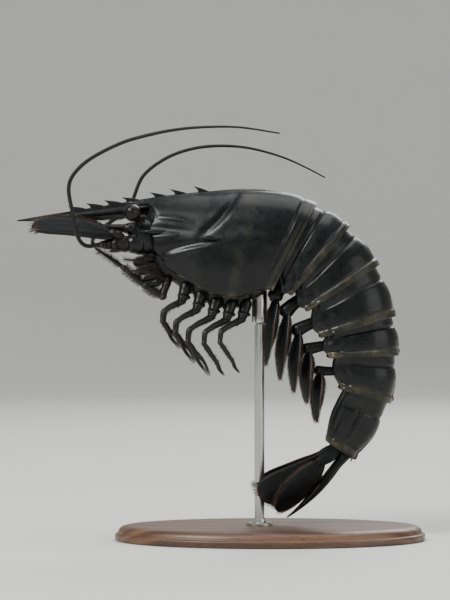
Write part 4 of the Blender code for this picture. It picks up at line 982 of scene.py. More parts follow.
# Ridges and grooves, by place, width and height: along the hems, beside the crest, round the rear
# of the carapace and of a somite, down the last somite's sides, and down the head.
CARAPACE_HEM = ((8.55, 0.28, 0.3), (7.9, 0.3, -0.25))
SOMITE_HEM = ((8.6, 0.25, 0.3), (8.0, 0.3, -0.25))
CREST_SIDES = ((3.0, 0.55, 0.35), (1.9, 0.6, -0.5))
CARAPACE_REAR = ((6.55, 0.07, -0.3),)
SOMITE_REAR = ((0.955, 0.03, 0.28), (0.89, 0.03, -0.3))
LAST_SIDES = ((4.1, 0.2, 0.55), (4.7, 0.25, -0.4))
HEAD_FRONT = ((0.0, 0.9, -0.5), (3.4, 1.2, 0.3))
# A cheek spine swells out of the shell: share of its length, and of its thickness.
SPINE_SWELL = ((0.0, 0.35), (0.25, 0.75), (0.45, 1.0), (0.6, 0.86), (0.8, 0.45), (1.0, 0.05))
CARAPACE_SPINE_THICK = 1.15
# Ridges and grooves of the carapace, seen from the side: height, width and corners.
CARAPACE_LINES = (
    (0.5, 1.0, ((-54.0, 121.4), (-46.0, 120.8), (-36.0, 121.6))),
    (-0.4, 1.3, ((-52.0, 125.2), (-42.0, 124.4), (-29.0, 122.8))),
    (0.35, 0.9, ((-47.0, 128.8), (-39.0, 128.4), (-30.0, 126.6))),
    (-0.7, 1.5, ((-29.5, 120.0), (-24.0, 124.6), (-19.0, 129.6), (-15.0, 135.6), (-12.0, 139.0))),
    (-0.5, 1.1, ((-22.0, 119.4), (-31.0, 118.2), (-40.0, 116.0), (-49.0, 112.6))),
    (0.5, 1.0, ((-21.0, 117.2), (-30.0, 116.0), (-38.0, 113.8), (-45.0, 111.2))),
    (-0.4, 1.6, ((-19.0, 125.6), (-8.0, 125.0), (3.0, 122.0), (13.0, 115.0))),
    (0.3, 2.2, ((-18.0, 120.6), (-6.0, 120.0), (6.0, 116.6))),
    (-0.3, 1.8, ((-42.0, 108.5), (-30.0, 104.6), (-18.0, 102.0), (-4.0, 101.6))),
)


def build_carapace():
    """The shield over head and thorax, with its crest, teeth, spines, ridges and grooves."""
    end = len(CARAPACE) - 1
    places = np.linspace(0.03, end, 176)
    rings = []
    for place, row in zip(places, through(CARAPACE, places)):
        share = max(0.0, place - TAIL_SHAPE_FROM) / (end - TAIL_SHAPE_FROM)
        rings.append(trunk_ring(row, CARAPACE_ROUND + (SOMITE_ROUND - CARAPACE_ROUND) * share))
    rings = np.array(rings)
    way = outward(rings)
    level = np.zeros(rings.shape[:2])
    for height, width, corners in CARAPACE_LINES:
        away, along = beside(rings[..., [0, 2]], corners)
        level += height * hump(away, width) * np.sin(math.pi * along) ** 0.8
    x, y = rings[..., 0], np.abs(rings[..., 1])
    upper = KNOT < 4
    crest = flow(((-49.5, CREST_RISE), (-36.0, 0.75), (-20.0, 0.5), (0.0, 0.22), (12.0, 0.0)), x)
    level += upper * crest * hump(y, 0.75)
    fade = flow(((-49.5, 1.0), (-34.0, 0.9), (-24.0, 0.0), (18.0, 0.0)), x)
    level += upper * fade * relief(y, CREST_SIDES)
    level += relief(KNOT, CARAPACE_HEM) + relief(places, CARAPACE_REAR)[:, None]
    rings = rings + way * (level * OUTER)[..., None]
    front = rim_rings(CARAPACE[0], CARAPACE_ROUND, FRONT_RIM)
    rear = rim_rings(CARAPACE[-1], SOMITE_ROUND, REAR_RIM, 0.99)
    rings = np.concatenate([front, rings, rear])
    fade = np.concatenate([np.ones(len(front)), np.clip(1 - places / 1.5, 0, 1) ** 2, np.zeros(len(rear))])
    rings = rings + ORBIT_AXIS * (fade[:, None] * flow(ORBIT_EDGE, KNOT))[..., None]
    tone = [np.full(len(front), 0.35), relief(places, CARAPACE_BANDS), np.full(len(rear), 0.45)]
    tone = np.concatenate(tone)[:, None] + 0.25 * hump(KNOT - 8.7, 0.6)
    form = Form()
    form.add(*loft(rings), np.concatenate([tone.ravel(), [0, 0]]))
    for x in CREST_TEETH:
        row = through(CARAPACE, np.interp(x, CARAPACE[:, 0], np.arange(end + 1)))
        tip = at(row, -CREST_RISE - TOOTH_HEIGHT, 0, -1.6)
        fang(form, at(row, 0.2, 0, TOOTH_BASE + 2.0), at(row, 0.2, 0, 0.2), tip, 1.3, 0.15)
    for side in SIDES.values():
        for station, drop, out, reach in CARAPACE_SPINES:
            row = CARAPACE[station]
            root = at(row, row[3] * drop, side * row[4] * out, 2.0)
            path = line(root + (reach * 0.9, 0, 0), root + (-reach, side * 1.3, 0.2), 30, (0, side * 0.3, 0))
            rod(form, path, SPINE_SWELL, 14, 0.2, CARAPACE_SPINE_THICK)
    build_rostrum(form)
    add_piece("carapace", form, "shell", ["carapace", "rostrum"])


ROSTRUM_ROOT = at(CARAPACE[0], -CREST_RISE, 0, -GAP)
ROSTRUM_RUN = (ROSTRUM_TIP - ROSTRUM_ROOT) / np.linalg.norm(ROSTRUM_TIP - ROSTRUM_ROOT)
UP = np.array((0, 0, 1.0))
# Half of the rostrum's cross-section: share of its depth, and of its half thickness. The side
# ridge runs on from the carapace.
ROSTRUM_PROFILE = (
    (0.0, 0.16), (0.08, 0.3), (0.2, 0.42), (0.33, 0.62), (0.42, 0.98), (0.5, 1.0), (0.58, 0.8), (0.7, 0.42),
    (0.85, 0.3), (1.0, 0.1),
)


def rostrum_top(share):
    return ROSTRUM_ROOT + (ROSTRUM_TIP - ROSTRUM_ROOT) * np.asarray(share)[..., None]


def rostrum_depth(share):
    return ROSTRUM_DEPTH * (1 - np.clip(share, 0, 1) ** 1.5) + 0.5 + CREST_RISE * (1 - np.clip(share, 0, 1))


def build_rostrum(form):
    """The toothed blade that grows from the carapace's crest."""
    share = np.concatenate([[-0.2, -0.1], np.linspace(0, 1, 90)])
    top = rostrum_top(share)
    top[:2] = at(CARAPACE[0], 0.4, 0, 10.0), at(CARAPACE[0], -0.3, 0, 5.0)
    deep = rostrum_depth(share)
    deep[:2] = 2.5, 5.0
    half = ROSTRUM_THICK * (1 - np.clip(share, 0, 1)) / 2 + 0.16
    half = half * (1 + 0.9 * hump(share, 0.09))
    drop = np.linspace(0, 1, 22)
    deep, half = deep[:, None], half[:, None]
    aside = -half * flow(ROSTRUM_PROFILE, drop)
    left = top[:, None] + np.stack([0 * aside, aside, -deep * drop], -1)
    form.add(*loft(np.concatenate([left, mirrored(left, -1)[:, ::-1]], axis=1)), 0.05)
    for share in DORSAL_TEETH:
        start = rostrum_top(share)
        tip = start + ROSTRUM_RUN * (TOOTH_BASE + 1.6) + UP * TOOTH_HEIGHT
        front = start + ROSTRUM_RUN * TOOTH_BASE - UP * 0.9
        fang(form, start - ROSTRUM_RUN * 1.8 - UP * 0.7, front, tip, 1.0, 0.15)
    for share in VENTRAL_TEETH:
        start = rostrum_top(share) + UP * (0.9 - rostrum_depth(share))
        front, tip = start + ROSTRUM_RUN * 3.8 + UP * 0.5, start + ROSTRUM_RUN * 5.4 - UP * 2.1
        fang(form, start - ROSTRUM_RUN * 1.2, front, tip, 0.75, 0.15)
    hair = Form()
    many = 260
    place = np.sort(CHANCE.uniform(0.16, 0.86, many))
    below = rostrum_top(place) - UP * (rostrum_depth(place) - 0.15)[:, None]
    ways = ROSTRUM_RUN * 1.4 - UP + np.array((0, 1.0, 0)) * CHANCE.uniform(-0.4, 0.4, (many, 1))
    bristles(hair, below, ways, 1.5, FINEST_HAIR)
    add_piece("rostrum_hairs", hair, "hair")


def somite_rings(number):
    """The rings of one tail plate, the share of its length at each, and its front section."""
    front, rear = JOINTS[number - 1].copy(), JOINTS[number]
    front[:2] = at(front, 0, 0, GAP)[[0, 2]]
    share = np.linspace(0, 1, 44)
    rings = []
    for s, scale, hem in zip(share, flow(SOMITE_SCALES, share), flow(SOMITE_HEMS, share)):
        outline = SOMITE_ROUND + (LAST_ROUND - SOMITE_ROUND) * s if number == LAST_SOMITE else SOMITE_ROUND
        bow = SOMITE_BOWS[number - 1] * math.sin(math.pi * s) ** 2
        keel = KEELS[number - 1] * 1.3 * max(0.0, s - 0.36)
        rings.append(trunk_ring(front + (rear - front) * s, outline, scale, hem, 0.0, bow, keel))
    return np.array(rings), share, front


def build_somite(number):
    """One plate of the tail: tucked in front, grooved, rimmed behind, with a belly of soft folds."""
    rings, share, front = somite_rings(number)
    rear, last = JOINTS[number], number == LAST_SOMITE
    along = share[:, None]
    way = outward(rings)
    level = -0.55 * hump(along - 0.3, 0.035) * np.clip((7.6 - KNOT) / 1.5, 0, 1)
    level = level + relief(along, SOMITE_REAR) + relief(KNOT, SOMITE_HEM)
    groove = hump(KNOT - (6.6 + 1.2 * np.abs(along - 0.6)), 0.28)
    level = level - 0.4 * groove * np.clip(along * 3 - 1, 0, 1)
    if last:
        level = level + relief(KNOT, LAST_SIDES) * hump(along - 0.55, 0.35)
    rings = rings + way * (level * OUTER)[..., None]
    if not last:
        down = at(rear, 1.0) - at(rear, 0)
        bar = 1.5 * hump(along - 0.56, 0.1) + 0.25 * np.cos(along * 50)
        rings = rings + down * (bar * np.clip((KNOT - 11.0) / 0.6, 0, 1))[..., None]
    head = rim_rings(front, SOMITE_ROUND, SOMITE_TUCK, 0.7)
    tail = rim_rings(rear, LAST_ROUND if last else SOMITE_ROUND, LAST_RIM if last else SOMITE_RIM, 0.92)
    rings = np.concatenate([head, rings, tail])
    tone = [np.full(len(head), 0.3), relief(share, SOMITE_BANDS), np.full(len(tail), 0.5)]
    tone = np.concatenate(tone)[:, None] + 0.3 * hump(KNOT - 8.7, 0.7) + 0.35 * (KNOT > 10.6)
    form = Form()
    form.add(*loft(rings), np.concatenate([tone.ravel(), [0, 0]]))
    if last:
        spine(form, at(rear, 0.6, 0, -2.4), at(rear, 0.1, 0, 1.9), 0.8)
    for side in SIDES.values():
        if last:
            thorn = at(rear, rear[3] * 0.74, side * 5.4, 1.6)
            spine(form, at(rear, rear[3] * 0.72, side * 5.0, -2.0), thorn, 0.8)
        else:
            knob = at(rear, rear[3] * 0.56, side * rear[4] * 0.995, 0.2)
            ball(form, knob, (1.15, 0.7, 1.15), 0.4, 8)
    add_piece(f"somite_{number}", form, "shell", [f"somite_{number}"])


# The belly plates' keel under the trunk, by station of the carapace.
THORAX_KEELS = ((1.0, 4.0), (2.0, 5.0), (3.0, 5.0), (4.0, 5.0), (5.0, 5.0), (6.0, 5.0), (6.8, 1.8))


def build_thorax():
    """The belly plates between the legs, which the carapace roofs, and the soft wall above them."""
    form = Form()
    rings = []
    for station, keel in THORAX_KEELS:
        row = through(CARAPACE, station)
        share = max(0.0, station - TAIL_SHAPE_FROM) / 4
        outline = np.array(CARAPACE_OUTLINE) * (1 - share) + np.array(SOMITE_OUTLINE) * share
        roof, eaves = outline[-1][1] * row[3] - 1.0, outline[-2][1] * row[3] + 0.4
        wide, low = outline[-2][0] * row[4] - 0.35, row[3] + keel
        ring = round_outline((
            (0.0, roof), (wide * 0.6, roof + 0.3), (wide, eaves), (wide * 1.03, (eaves + low) / 2),
            (wide * 0.86, low - 1.5), (wide * 0.5, low - 0.3), (wide * 0.18, low - 0.5), (0.0, low),
        ))
        rings.append(hang(row, ring[:, 1], ring[:, 0]))
    rings = through(np.array(rings), np.linspace(0, len(rings) - 1, 120))
    way = outward(rings)
    under = np.clip((rings[..., 2].max(1, keepdims=True) - rings[..., 2]) / 6 - 0.4, 0, 1)
    level = np.zeros(rings.shape[:2])
    for x in LEG_ROOTS[:, 0]:
        level += -0.9 * hump(rings[..., 0] - (x + 3.0), 0.55) + 0.35 * hump(rings[..., 0] - x, 1.6)
    form.add(*loft(rings + way * (level * under)[..., None]), 0.3)
    for root in LEG_ROOTS:
        for side in SIDES.values():
            ball(form, mirrored(root + np.array((0.4, -3.6, -1.6)), side), (2.2, 1.4, 1.2), 0.15, 8)
    add_piece("thorax", form, "limb", ["thorax"])


# The plate between the eyes, under the rostrum's root: centre and half sizes.
BROW, BROW_SIZE = (-50.8, 0.0, 128.6), (4.2, 4.2, 2.3)
# The head block: how far forward of the carapace each section is, and its scale.
HEAD_SECTIONS = (
    (-5.0, 0.8), (-1.0, 0.9), (0.6, 0.96), (1.8, 0.99), (3.0, 1.0), (4.4, 0.97), (5.8, 0.89), (7.0, 0.74),
    (7.8, 0.56), (8.2, 0.3),
)
# The wall that closes the carapace's front: scale, how far back, and share of the orbit's cut.
FRONT_WALL = (
    (0.955, 6.0, 1.0), (0.95, 2.0, 1.0), (0.93, 1.1, 0.95), (0.88, 0.5, 0.8), (0.8, 0.0, 0.4),
    (0.7, -0.8, 0.1), (0.55, -1.6, 0.0),
)
SOCKET_GIRTH = ((0, 1.3), (0.6, 1.1), (0.85, 1.06), (1, 0.9))


def build_head():
    """The block between the eyes, with the sockets of eyes and feelers."""
    form, soft = Form(), Form()
    middle, half = (HEAD_TOP + HEAD_BOTTOM) / 2, (HEAD_BOTTOM - HEAD_TOP) / 2
    turn = np.arange(64) * math.tau / 64
    across, drop = (np.sign(v) * np.abs(v) ** 0.75 for v in (np.cos(turn), np.sin(turn)))
    rings = [
        hang(CARAPACE[0], middle + drop * half * scale, across * HEAD_HALF_WIDTH * scale, -reach)
        for reach, scale in HEAD_SECTIONS
    ]
    rings = through(np.array(rings), np.linspace(0, len(rings) - 1, 46))
    level = relief(np.abs(rings[..., 1]), HEAD_FRONT)
    form.add(*loft(rings + outward(rings) * level[..., None]), 0.1)
    ball(form, BROW, BROW_SIZE, 0.0, 16)
    notch = np.maximum(flow(ORBIT_EDGE, KNOT), 0)[:, None]
    wall = [
        trunk_ring(CARAPACE[0], CARAPACE_ROUND, scale, 1.0, back) + ORBIT_AXIS * notch * cut
        for scale, back, cut in FRONT_WALL
    ]
    form.add(*loft(through(np.array(wall), np.linspace(0, len(wall) - 1, 25))), 0.0)
    for side in SIDES.values():
        for organ, radius in ((eye_line, 1.9), (antennule_points, 2.2), (antenna_points, 3.5)):
            root, end = organ(side)[:2]
            run = unit(end - root)
            rod(form, line(root - run * 4.5, root - run * 0.5, 12), SOCKET_GIRTH, 20, 0.12, radius)
            skin(soft, root - run * 0.2, radius * 0.86, 9)
    add_piece("head", form, "shell", ["head"])
    add_piece("head_joints", soft, "membrane")


def eye_line(side):
    return mirrored(STALK_ROOT, side), mirrored(EYE_CENTRE, side)


STALK_GIRTH = ((0, 1.5), (0.12, 1.75), (0.3, 1.6), (0.5, 1.75), (0.75, 2.45), (0.93, 3.0), (1.0, 3.12))


def build_eye(name, side):
    """A cupped stalk, and the black cornea that caps it."""
    root, centre = eye_line(side)
    run = unit(centre - root)
    stalk, eye = Form(), Form()
    path = line(root - run * 0.4, centre - run * EYE_RADIUS * 0.32, 30)
    rod(stalk, path, STALK_GIRTH, 30, 0.2, rounded=(True, False))
    polar = np.radians(np.linspace(2, 112, 40))
    path = centre + run * (np.cos(polar) * EYE_RADIUS)[:, None]
    radii = np.sin(polar) * EYE_RADIUS * (1 + 0.03 * hump(np.degrees(polar) - 88, 16))
    eye.add(*loft(tube(path[::-1], radii[::-1], 40, rounded=(False, False))))
    add_piece("eyestalk_" + name, stalk, "limb", ["eyestalk_" + name])
    add_piece("eye_" + name, eye, "eye", ["eye_" + name])


# Feelers and limbs.


def antennule_points(side):
    return mirrored(ANTENNULE_ROOT + ANTENNULE_JOINTS, side)


def antenna_points(side):
    return mirrored(ANTENNA_ROOT + ANTENNA_JOINTS, side)


def ringed(form, path, radii, step):
    """A whip of short rings, like beads with their ends pressed together."""
    reach = reach_along(path)
    beads = int(reach[-1] / step)
    where = np.concatenate([[b, b + 0.12, b + 0.5, b + 0.88] for b in range(beads)]) * reach[-1] / beads
    radii = np.interp(where, reach, radii) * np.tile((0.9, 1.0, 1.02, 1.0), beads)
    form.add(*loft(tube(picked(path, where), radii, 10)), 0.05)


def build_antennule(name, side):
    """The short inner feeler: three lengths and two fine whips."""
    joints = antennule_points(side)
    form, soft, hair = Form(), Form(), Form()
    run = unit(joints[1] - joints[0])
    for first, (thick, thin) in enumerate(((2.1, 1.75), (1.6, 1.5), (1.4, 1.3))):
        segment(form, joints[first] - run * 0.7, joints[first + 1], thick, thin, 0.8, (0, 1, 0), tone=0.05)
        ball(soft, joints[first + 1] - run * 0.1, (1.1, 1.1, 1.0), SKIN_TONE, 8)
    root = joints[0]
    spine(form, root + np.array((-0.5, side * 1.6, 0.3)), root + np.array((-5.6, side * 2.3, 0.5)), 0.7)
    end = joints[-1]
    for lift, out, reach in ANTENNULE_FLAGELLA:
        start = end + np.array((0.4, 0, lift * 0.2))
        tip = end + np.array((-reach, side * out, lift))
        bend = (start + tip) / 2 + np.array((0, 0, lift * 0.35))
        ringed(form, through([start, bend, tip], np.linspace(0, 2, 30)), np.linspace(0.7, 0.16, 30), 0.6)
    place = CHANCE.uniform(0, 1, 70)[:, None]
    roots = root + (end - root) * place - np.array((0, side * 1.2, 0)) + (0, 0, 0.4)
    bristles(hair, roots, np.array((-0.8, -side * 0.5, 0.6)), 1.4, FINEST_HAIR)
    add_limb("antennule", name, form, soft, hair)


# The lengths of a long feeler's base: where each starts and ends, and its two radii.
PEDUNCLE = ((-0.12, 0.34, 2.5, 2.2), (0.28, 0.7, 2.1, 1.85), (0.62, 1.02, 1.75, 1.55))


def build_antenna(name, side):
    """The peduncle of the long feeler, and its ringed whip in one sweep."""
    root, base, end = antenna_points(side)
    form, soft, whip = Form(), Form(), Form()
    run = unit(base - root)
    segment(form, root - run * 0.6, root + (base - root) * 0.98, 3.55, 3.2, 0.95, tone=0.05, sides=24)
    spine(form, base + np.array((1.5, side * 0.8, -2.2)), base + np.array((-2.2, side * 1.8, -3.0)), 0.9)
    boss = mirrored(SCALE_ROOT, side)
    back = boss + np.array((3.6, side * -0.4, -1.6))
    segment(form, back, boss + np.array((-0.1, 0, 0)), 1.9, 1.8, tone=0.1)
    ball(soft, boss + np.array((-0.3, 0, 0)), (1.5, 1.5, 1.4), SKIN_TONE, 8)
    reach = end - base
    for first, last, thick, thin in PEDUNCLE:
        segment(form, base + reach * first, base + reach * last, thick, thin, tone=0.08, sides=20)
        skin(soft, base + reach * last, thin * 0.85, 9)
    way = unit(reach)
    knots = np.concatenate([[end - way * 0.6, end + way * 2.2], mirrored(FEELERS[name], side)])
    path = evenly(through(knots, np.linspace(0, len(knots) - 1, 400)), 400, 70)
    ringed(whip, path, np.interp(np.linspace(0, 1, 400), *np.transpose(FEELER_GIRTH)), 0.95)
    add_piece("antenna_base_" + name, form, "limb", ["antenna_base_" + name])
    add_piece("antenna_joints_" + name, soft, "membrane")
    add_piece("antenna_" + name, whip, "limb", [f"antenna_{name}_{part}" for part in (1, 2, 3)])


MAXILLIPED_GIRTHS = ((2.1, 1.9), (1.9, 1.7), (1.65, 1.35), (1.3, 0.5))


def build_maxilliped(name, side):
    """The hairy jaw leg that folds forward under the head."""
    points = mirrored(MAXILLIPED, side)
    form, soft, hair = Form(), Form(), Form()
    run = unit(points[1] - points[0])
    starts = [points[0] - run * 3.0, *points[1:-1]]
    for number, (start, end, (thick, thin)) in enumerate(zip(starts, points[1:], MAXILLIPED_GIRTHS)):
        way = unit(end - start)
        segment(form, start - way * 0.5, end, thick, thin, 0.8, tone=0.03)
        skin(soft, end, thin * 0.9, 9)
        if number:
            up = unit(np.cross(way, (0, 1, 0)))
            for lean in (up, -up, np.array((0, -side, 0))):
                limb_hairs(hair, start, end, lean, 60, 2.2, thin * 0.7)
    tip, back = points[-1], unit(points[-2] - points[-1])
    spine(form, tip + back * 1.5, tip + unit(tip - points[-2]) * 0.8, 0.5)
    add_limb("maxilliped", name, form, soft, hair)


FINGER_GIRTH = ((0, 0.6), (0.5, 0.5), (1, 0.12))
CLAW_GIRTH = ((0, 0.55), (0.15, 0.72), (0.6, 0.42), (1, 0.08))


def build_leg(name, side, pair):
    """One walking leg: coxa, basis, merus, carpus and propodus, with a pincer or a claw."""
    points = mirrored(LEG_ROOTS[pair] + LEG_JOINTS * LEG_SCALES[pair], side)
    form, soft, hair = Form(), Form(), Form()
    run = unit(points[1] - points[0])
    hip = points[0] + (points[1] - points[0]) * 0.5
    segment(form, points[0] - run * 4.6, hip, 2.5, 2.25, tone=0.05, sides=20)
    segment(form, hip - run * 0.4, points[1] + run * 0.3, 1.95, 1.8, tone=0.05)
    thigh = points[1] + (points[2] - points[1]) * 0.3
    way = unit(points[2] - points[1])
    segment(form, points[1] - way * 0.6, thigh, 1.75, 1.6, 0.9, tone=0.02)
    segment(form, thigh - way * 0.4, points[2], 1.55, 1.3, 0.85, bow=(0, 0, 0.4))
    segment(form, points[2] - unit(points[3] - points[2]) * 0.4, points[3], 1.22, 1.15, 0.9)
    for joint, radius in ((points[1], 1.5), (thigh, 1.25), (points[2], 1.12), (points[3], 0.95)):
        skin(soft, joint, radius)
    way = unit(points[5] - points[3])
    aside = unit(np.cross(way, (0, 1, 0)))
    if pair < CHELATE_LEGS:
        palm = points[3] + (points[4] - points[3]) * 0.62
        segment(form, points[3] - way * 0.3, palm, 1.05, 1.2, 0.8)
        for sense in (-1.0, 1.0):
            knots = [
                palm - way * 0.8 + aside * sense * 0.45,
                palm + (points[5] - palm) * 0.4 + aside * sense * 0.85,
                points[5] + aside * sense * 0.16,
            ]
            rod(form, through(knots, np.linspace(0, 2, 24)), FINGER_GIRTH, 12, 0.1, flat=0.8)
        for out in (aside, -aside):
            limb_hairs(hair, palm, points[5], out, 26, 1.0, 0.5)
    else:
        segment(form, points[3] - way * 0.3, points[4], 1.05, 0.8, 0.85)
        skin(soft, points[4], 0.66)
        rod(form, line(points[4] - way * 0.3, points[5], 18, aside * -0.5), CLAW_GIRTH, 12, 0.1)
    for start, end, out in ((points[1], points[2], 0.7), (points[3], points[4], 0.6)):
        limb_hairs(hair, start, end, unit(np.cross(end - start, (0, side, 0))), 34, 1.3, out)
    add_limb("leg", f"{pair + 1}_{name}", form, soft, hair)


# Domes of the jaws and the upper lip: side, place forward of and below the head's floor, half sizes.
JAW_DOMES = (
    (0.0, 3.2, 2.6, (4.4, 2.4, 2.4)), (-1.7, 0.6, 4.6, (4.0, 1.9, 3.4)), (1.7, 0.6, 4.6, (4.0, 1.9, 3.4)),
    (-1.5, -1.6, 7.6, (3.4, 1.7, 3.0)), (1.5, -1.6, 7.6, (3.4, 1.7, 3.0)),
)
# The walls that close the body behind and above the jaws: centre and half sizes.
CHEEK_WALLS = (((-41.8, 0.0, 111.0), (6.0, 5.4, 8.8)), ((-47.4, 0.0, 114.4), (3.4, 4.6, 2.8)))
# Leaf-like jaw limbs, from the front one back: root, tip, half width and bow.
JAW_LEAVES = (
    ((-46.4, 3.4, 112.4), (-54.6, 3.6, 110.6), 2.3, 0.8),
    ((-44.6, 3.9, 109.8), (-52.8, 4.3, 107.0), 2.0, 0.9),
    ((-43.0, 4.2, 107.2), (-50.6, 4.6, 103.8), 1.7, 0.9),
)
JAW_LEAF_OUTLINE = ((0.0, 0.45), (0.2, 0.85), (0.5, 1.0), (0.8, 0.86), (0.94, 0.55), (1.0, 0.2))
# The second jaw leg, folded back on itself, and the feathery whips of the jaw limbs.
JAW_LEG = (
    (-41.8, 3.8, 105.4), (-45.4, 4.9, 102.4), (-49.4, 5.1, 101.8), (-53.2, 4.6, 104.8), (-51.8, 3.9, 108.2),
    (-48.6, 3.4, 108.0),
)
JAW_LEG_GIRTHS = ((1.35, 1.25), (1.25, 1.2), (1.2, 1.1), (1.1, 0.95), (0.9, 0.45))
JAW_WHIPS = (
    ((-42.6, 5.2, 105.6), (-46.6, 6.9, 108.8), (-52.0, 7.7, 111.4), (-58.2, 7.4, 112.2)),
    ((-41.0, 5.6, 103.4), (-45.4, 7.4, 105.8), (-51.4, 8.1, 107.6), (-58.0, 7.6, 107.4)),
)


def build_jaw_leaf(form, hair, side, number):
    """One leaf-like jaw limb, cupped and fringed."""
    root, tip, half_width, bow = JAW_LEAVES[number]
    start, end = mirrored(root, side), mirrored(tip, side)
    way = unit(end - start)
    broad = np.array((0.0, side * 0.35, 0.94))
    broad = unit(broad - way * (broad @ way))
    lift = unit(np.cross(way, broad))
    lift = lift * np.sign(lift[1] * side)
    cup = leaf_surface(
        start, end, broad, lift, half_width, bow, lambda share, across, height: height - 0.5 * across**2
    )
    rim = blade(
        form, cup, JAW_LEAF_OUTLINE, lambda share: 0.9 - 0.5 * share, ((0.0, 0.18, 0.25),), 36, 16,
        (0.08, 0.35),
    )
    fringe(hair, rim, ((-1.0, 0.2, 1.0), (1.0, 0.2, 1.0)), 1.7, 0.3, FINE_HAIR, rows=1, sheet=number)


def build_mouthparts():
    """The jaws and upper lip, the leaf-like limbs stacked under them, and their feathery whips."""
    form, soft, hair = Form(), Form(), Form()
    floor = at(CARAPACE[0], HEAD_BOTTOM + GAP)
    for side, ahead, drop, size in JAW_DOMES:
        ball(form, floor + np.array((-ahead, side, -drop)), size, 0.1, 16)
    for centre, size in CHEEK_WALLS:
        ball(form, centre, size, 0.0, 16)
    for side in SIDES.values():
        for number in range(len(JAW_LEAVES)):
            build_jaw_leaf(form, hair, side, number)
        knots = mirrored(JAW_LEG, side)
        for start, end, (thick, thin) in zip(knots, knots[1:], JAW_LEG_GIRTHS):
            way = unit(end - start)
            segment(form, start - way * 0.3, end, thick, thin, 0.75, (0, 1, 0), tone=0.05)
            skin(soft, end, thin * 0.85)
            aside = unit(np.cross(way, (0, 1, 0)))
            for out, many, length in ((aside, 50, 1.6), (-aside, 30, 1.2)):
                limb_hairs(hair, start, end, out, many, length, 0.5)
        for whip in JAW_WHIPS:
            path = through(mirrored(whip, side), np.linspace(0, 3, 60))
            ringed(form, path, np.linspace(0.6, 0.16, 60), 0.8)
            along, across, other = frames(path, (0, 0, 1))
            for way in (across, -across, other, -other):
                bristles(hair, path[8:], way[8:] + along[8:] * 0.8, 2.2, FINEST_HAIR)
    add_piece("mouthparts", form, "limb", ["mouthparts"])
    add_piece("mouth_joints", soft, "membrane")
    add_piece("mouth_hairs", hair, "hair")


# Stand.

# The base's edge, from its underside to its top: how far in from the widest oval, and the height.
BASE_PROFILE = (
    (3.0, 0.0), (0.9, 0.0), (0.35, 0.15), (0.05, 0.5), (0.0, 0.9), (0.0, 2.3), (0.08, 2.6), (0.4, 2.85),
    (0.95, 2.95), (1.15, 3.1), (1.2, 3.3), (1.3, 3.9), (1.65, 4.6), (2.25, 5.2), (3.1, 5.65), (4.2, 5.9),
    (5.2, 5.98), (8.0, 6.0),
)
# The rod, from its foot ring to its cup: radius and height.
ROD_PROFILE = (
    (0.0, 6.02), (5.2, 6.02), (5.3, 6.15), (5.3, 6.9), (5.05, 7.15), (3.1, 7.3), (2.75, 7.6), (2.6, 8.6),
    (2.4, 8.8), (2.0, 8.85), (2.0, 86.2), (2.3, 86.3), (2.6, 86.5), (3.05, 87.0), (3.1, 87.4), (3.1, 88.6),
    (2.95, 88.75), (3.1, 88.9), (3.1, 90.1), (3.0, 90.4), (3.0, 99.8), (0.5, 99.8),
)


def oval(inset, height, count=160):
    turn = np.arange(count) * math.tau / count
    normal = unit(np.stack([np.cos(turn) / BASE_HALF[0], np.sin(turn) / BASE_HALF[1]], -1))
    rim = np.stack([np.cos(turn), np.sin(turn)], -1) * BASE_HALF - normal * inset
    return np.concatenate([rim, np.full((count, 1), height)], axis=1)


def turned_ring(radius, height, count=48):
    turn = np.arange(count) * math.tau / count
    return np.stack([radius * np.cos(turn), radius * np.sin(turn), np.full(count, height)], -1)


def build_stand():
    """A moulded oval base, and a steel rod with its foot ring and its cup under the body."""
    base, metal = Form(), Form()
    rings = [oval(inset, height) for inset, height in BASE_PROFILE]
    for share in (0.7, 0.4, 0.1):
        rings.append(oval(*BASE_PROFILE[-1]) * (share, share, 1))
        rings.insert(0, oval(*BASE_PROFILE[0]) * (share, share, 1))
    base.add(*loft(rings))
    add_piece("stand_base", base, "wood", ["stand_base"], sharp=40)
    metal.add(*loft([turned_ring(radius, height) + (ROD_X, 0, 0) for radius, height in ROD_PROFILE]))
    add_piece("stand_rod", metal, "steel", ["stand_rod"], sharp=30)


def build_prawn():
    build_carapace()
    for number in range(1, LAST_SOMITE + 1):
        build_somite(number)
    build_thorax()
    build_head()
    build_mouthparts()
    build_telson()
    for name, side in SIDES.items():
        build_eye(name, side)
        build_antennule(name, side)
        build_antenna(name, side)
        build_scale(name, side)
        build_maxilliped(name, side)
        build_uropod(name, side)
        for pair in range(len(LEG_ROOTS)):
            build_leg(name, side, pair)
        for number in range(1, LAST_SOMITE):
            build_pleopod(name, side, number)


# Studio.

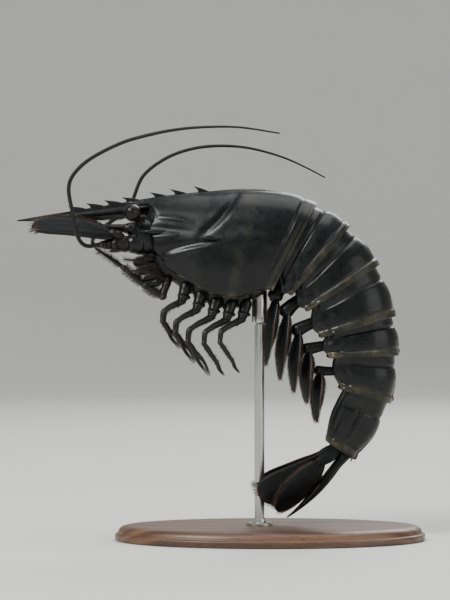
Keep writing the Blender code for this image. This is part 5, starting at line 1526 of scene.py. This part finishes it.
# Name, place in metres, size and power of each lamp.
LAMPS = (
    ("key", (-0.8, -0.85, 1.1), 0.6, 24.0), ("fill", (1.1, -0.8, 0.5), 0.9, 5.0),
    ("back", (0.4, 1.0, 0.9), 0.7, 9.0), ("top", (0.2, 0.0, 1.3), 0.9, 8.0),
)
MIDDLE = (-0.018, 0.0, 0.09)  # which the lamps face
# The paper lies flat as far out as this, in millimetres, then bends up and ends at its top.
SWEEP_FLAT, SWEEP_BEND, SWEEP_TOP = 1500.0, 900.0, 2200.0
CAMERA_PLACE, CAMERA_LENS, CAMERA_SENSOR = (-0.018, -1.0, 0.096), 150.0, 36.0


def aim(item, target):
    """Turns a lamp towards a point."""
    way = unit(np.asarray(target, float) - np.array(item.location))
    item.rotation_euler = (math.acos(-way[2]), 0.0, math.atan2(way[0], -way[1]) + math.pi)


def build_studio():
    """A pale paper sweep that curves up all round, soft lamps, and the camera."""
    profile = [(20.0, 0.0), (400.0, 0.0), (900.0, 0.0)]
    for turn in np.radians(np.linspace(0, 90, 24)):
        profile.append((SWEEP_FLAT + SWEEP_BEND * math.sin(turn), SWEEP_BEND - SWEEP_BEND * math.cos(turn)))
    profile.append((SWEEP_FLAT + SWEEP_BEND, SWEEP_TOP))
    points, faces = loft([turned_ring(radius, height, 128) for radius, height in profile], closed=False)
    make_object("paper_sweep", Form().add(points, faces + [tuple(range(128))]), "paper")
    for name, place, size, power in LAMPS:
        lamp = bpy.data.lights.new(name, "AREA")
        lamp.size = size
        lamp.energy = power
        item = bpy.data.objects.new(name, lamp)
        item.location = place
        aim(item, MIDDLE)
        bpy.context.scene.collection.objects.link(item)
    world = bpy.data.worlds.new("studio")
    world.use_nodes = True
    sky = world.node_tree.nodes["Background"]
    sky.inputs["Color"].default_value = linear("#E4E6E8")
    sky.inputs["Strength"].default_value = 0.5
    bpy.context.scene.world = world
    view = bpy.data.cameras.new("camera")
    view.sensor_fit = "VERTICAL"
    view.sensor_height = CAMERA_SENSOR
    view.lens = CAMERA_LENS
    camera = bpy.data.objects.new("camera", view)
    camera.location = CAMERA_PLACE
    camera.rotation_euler = (math.pi / 2, 0.0, 0.0)
    bpy.context.scene.collection.objects.link(camera)
    bpy.context.scene.camera = camera


build_prawn()
build_stand()
build_studio()
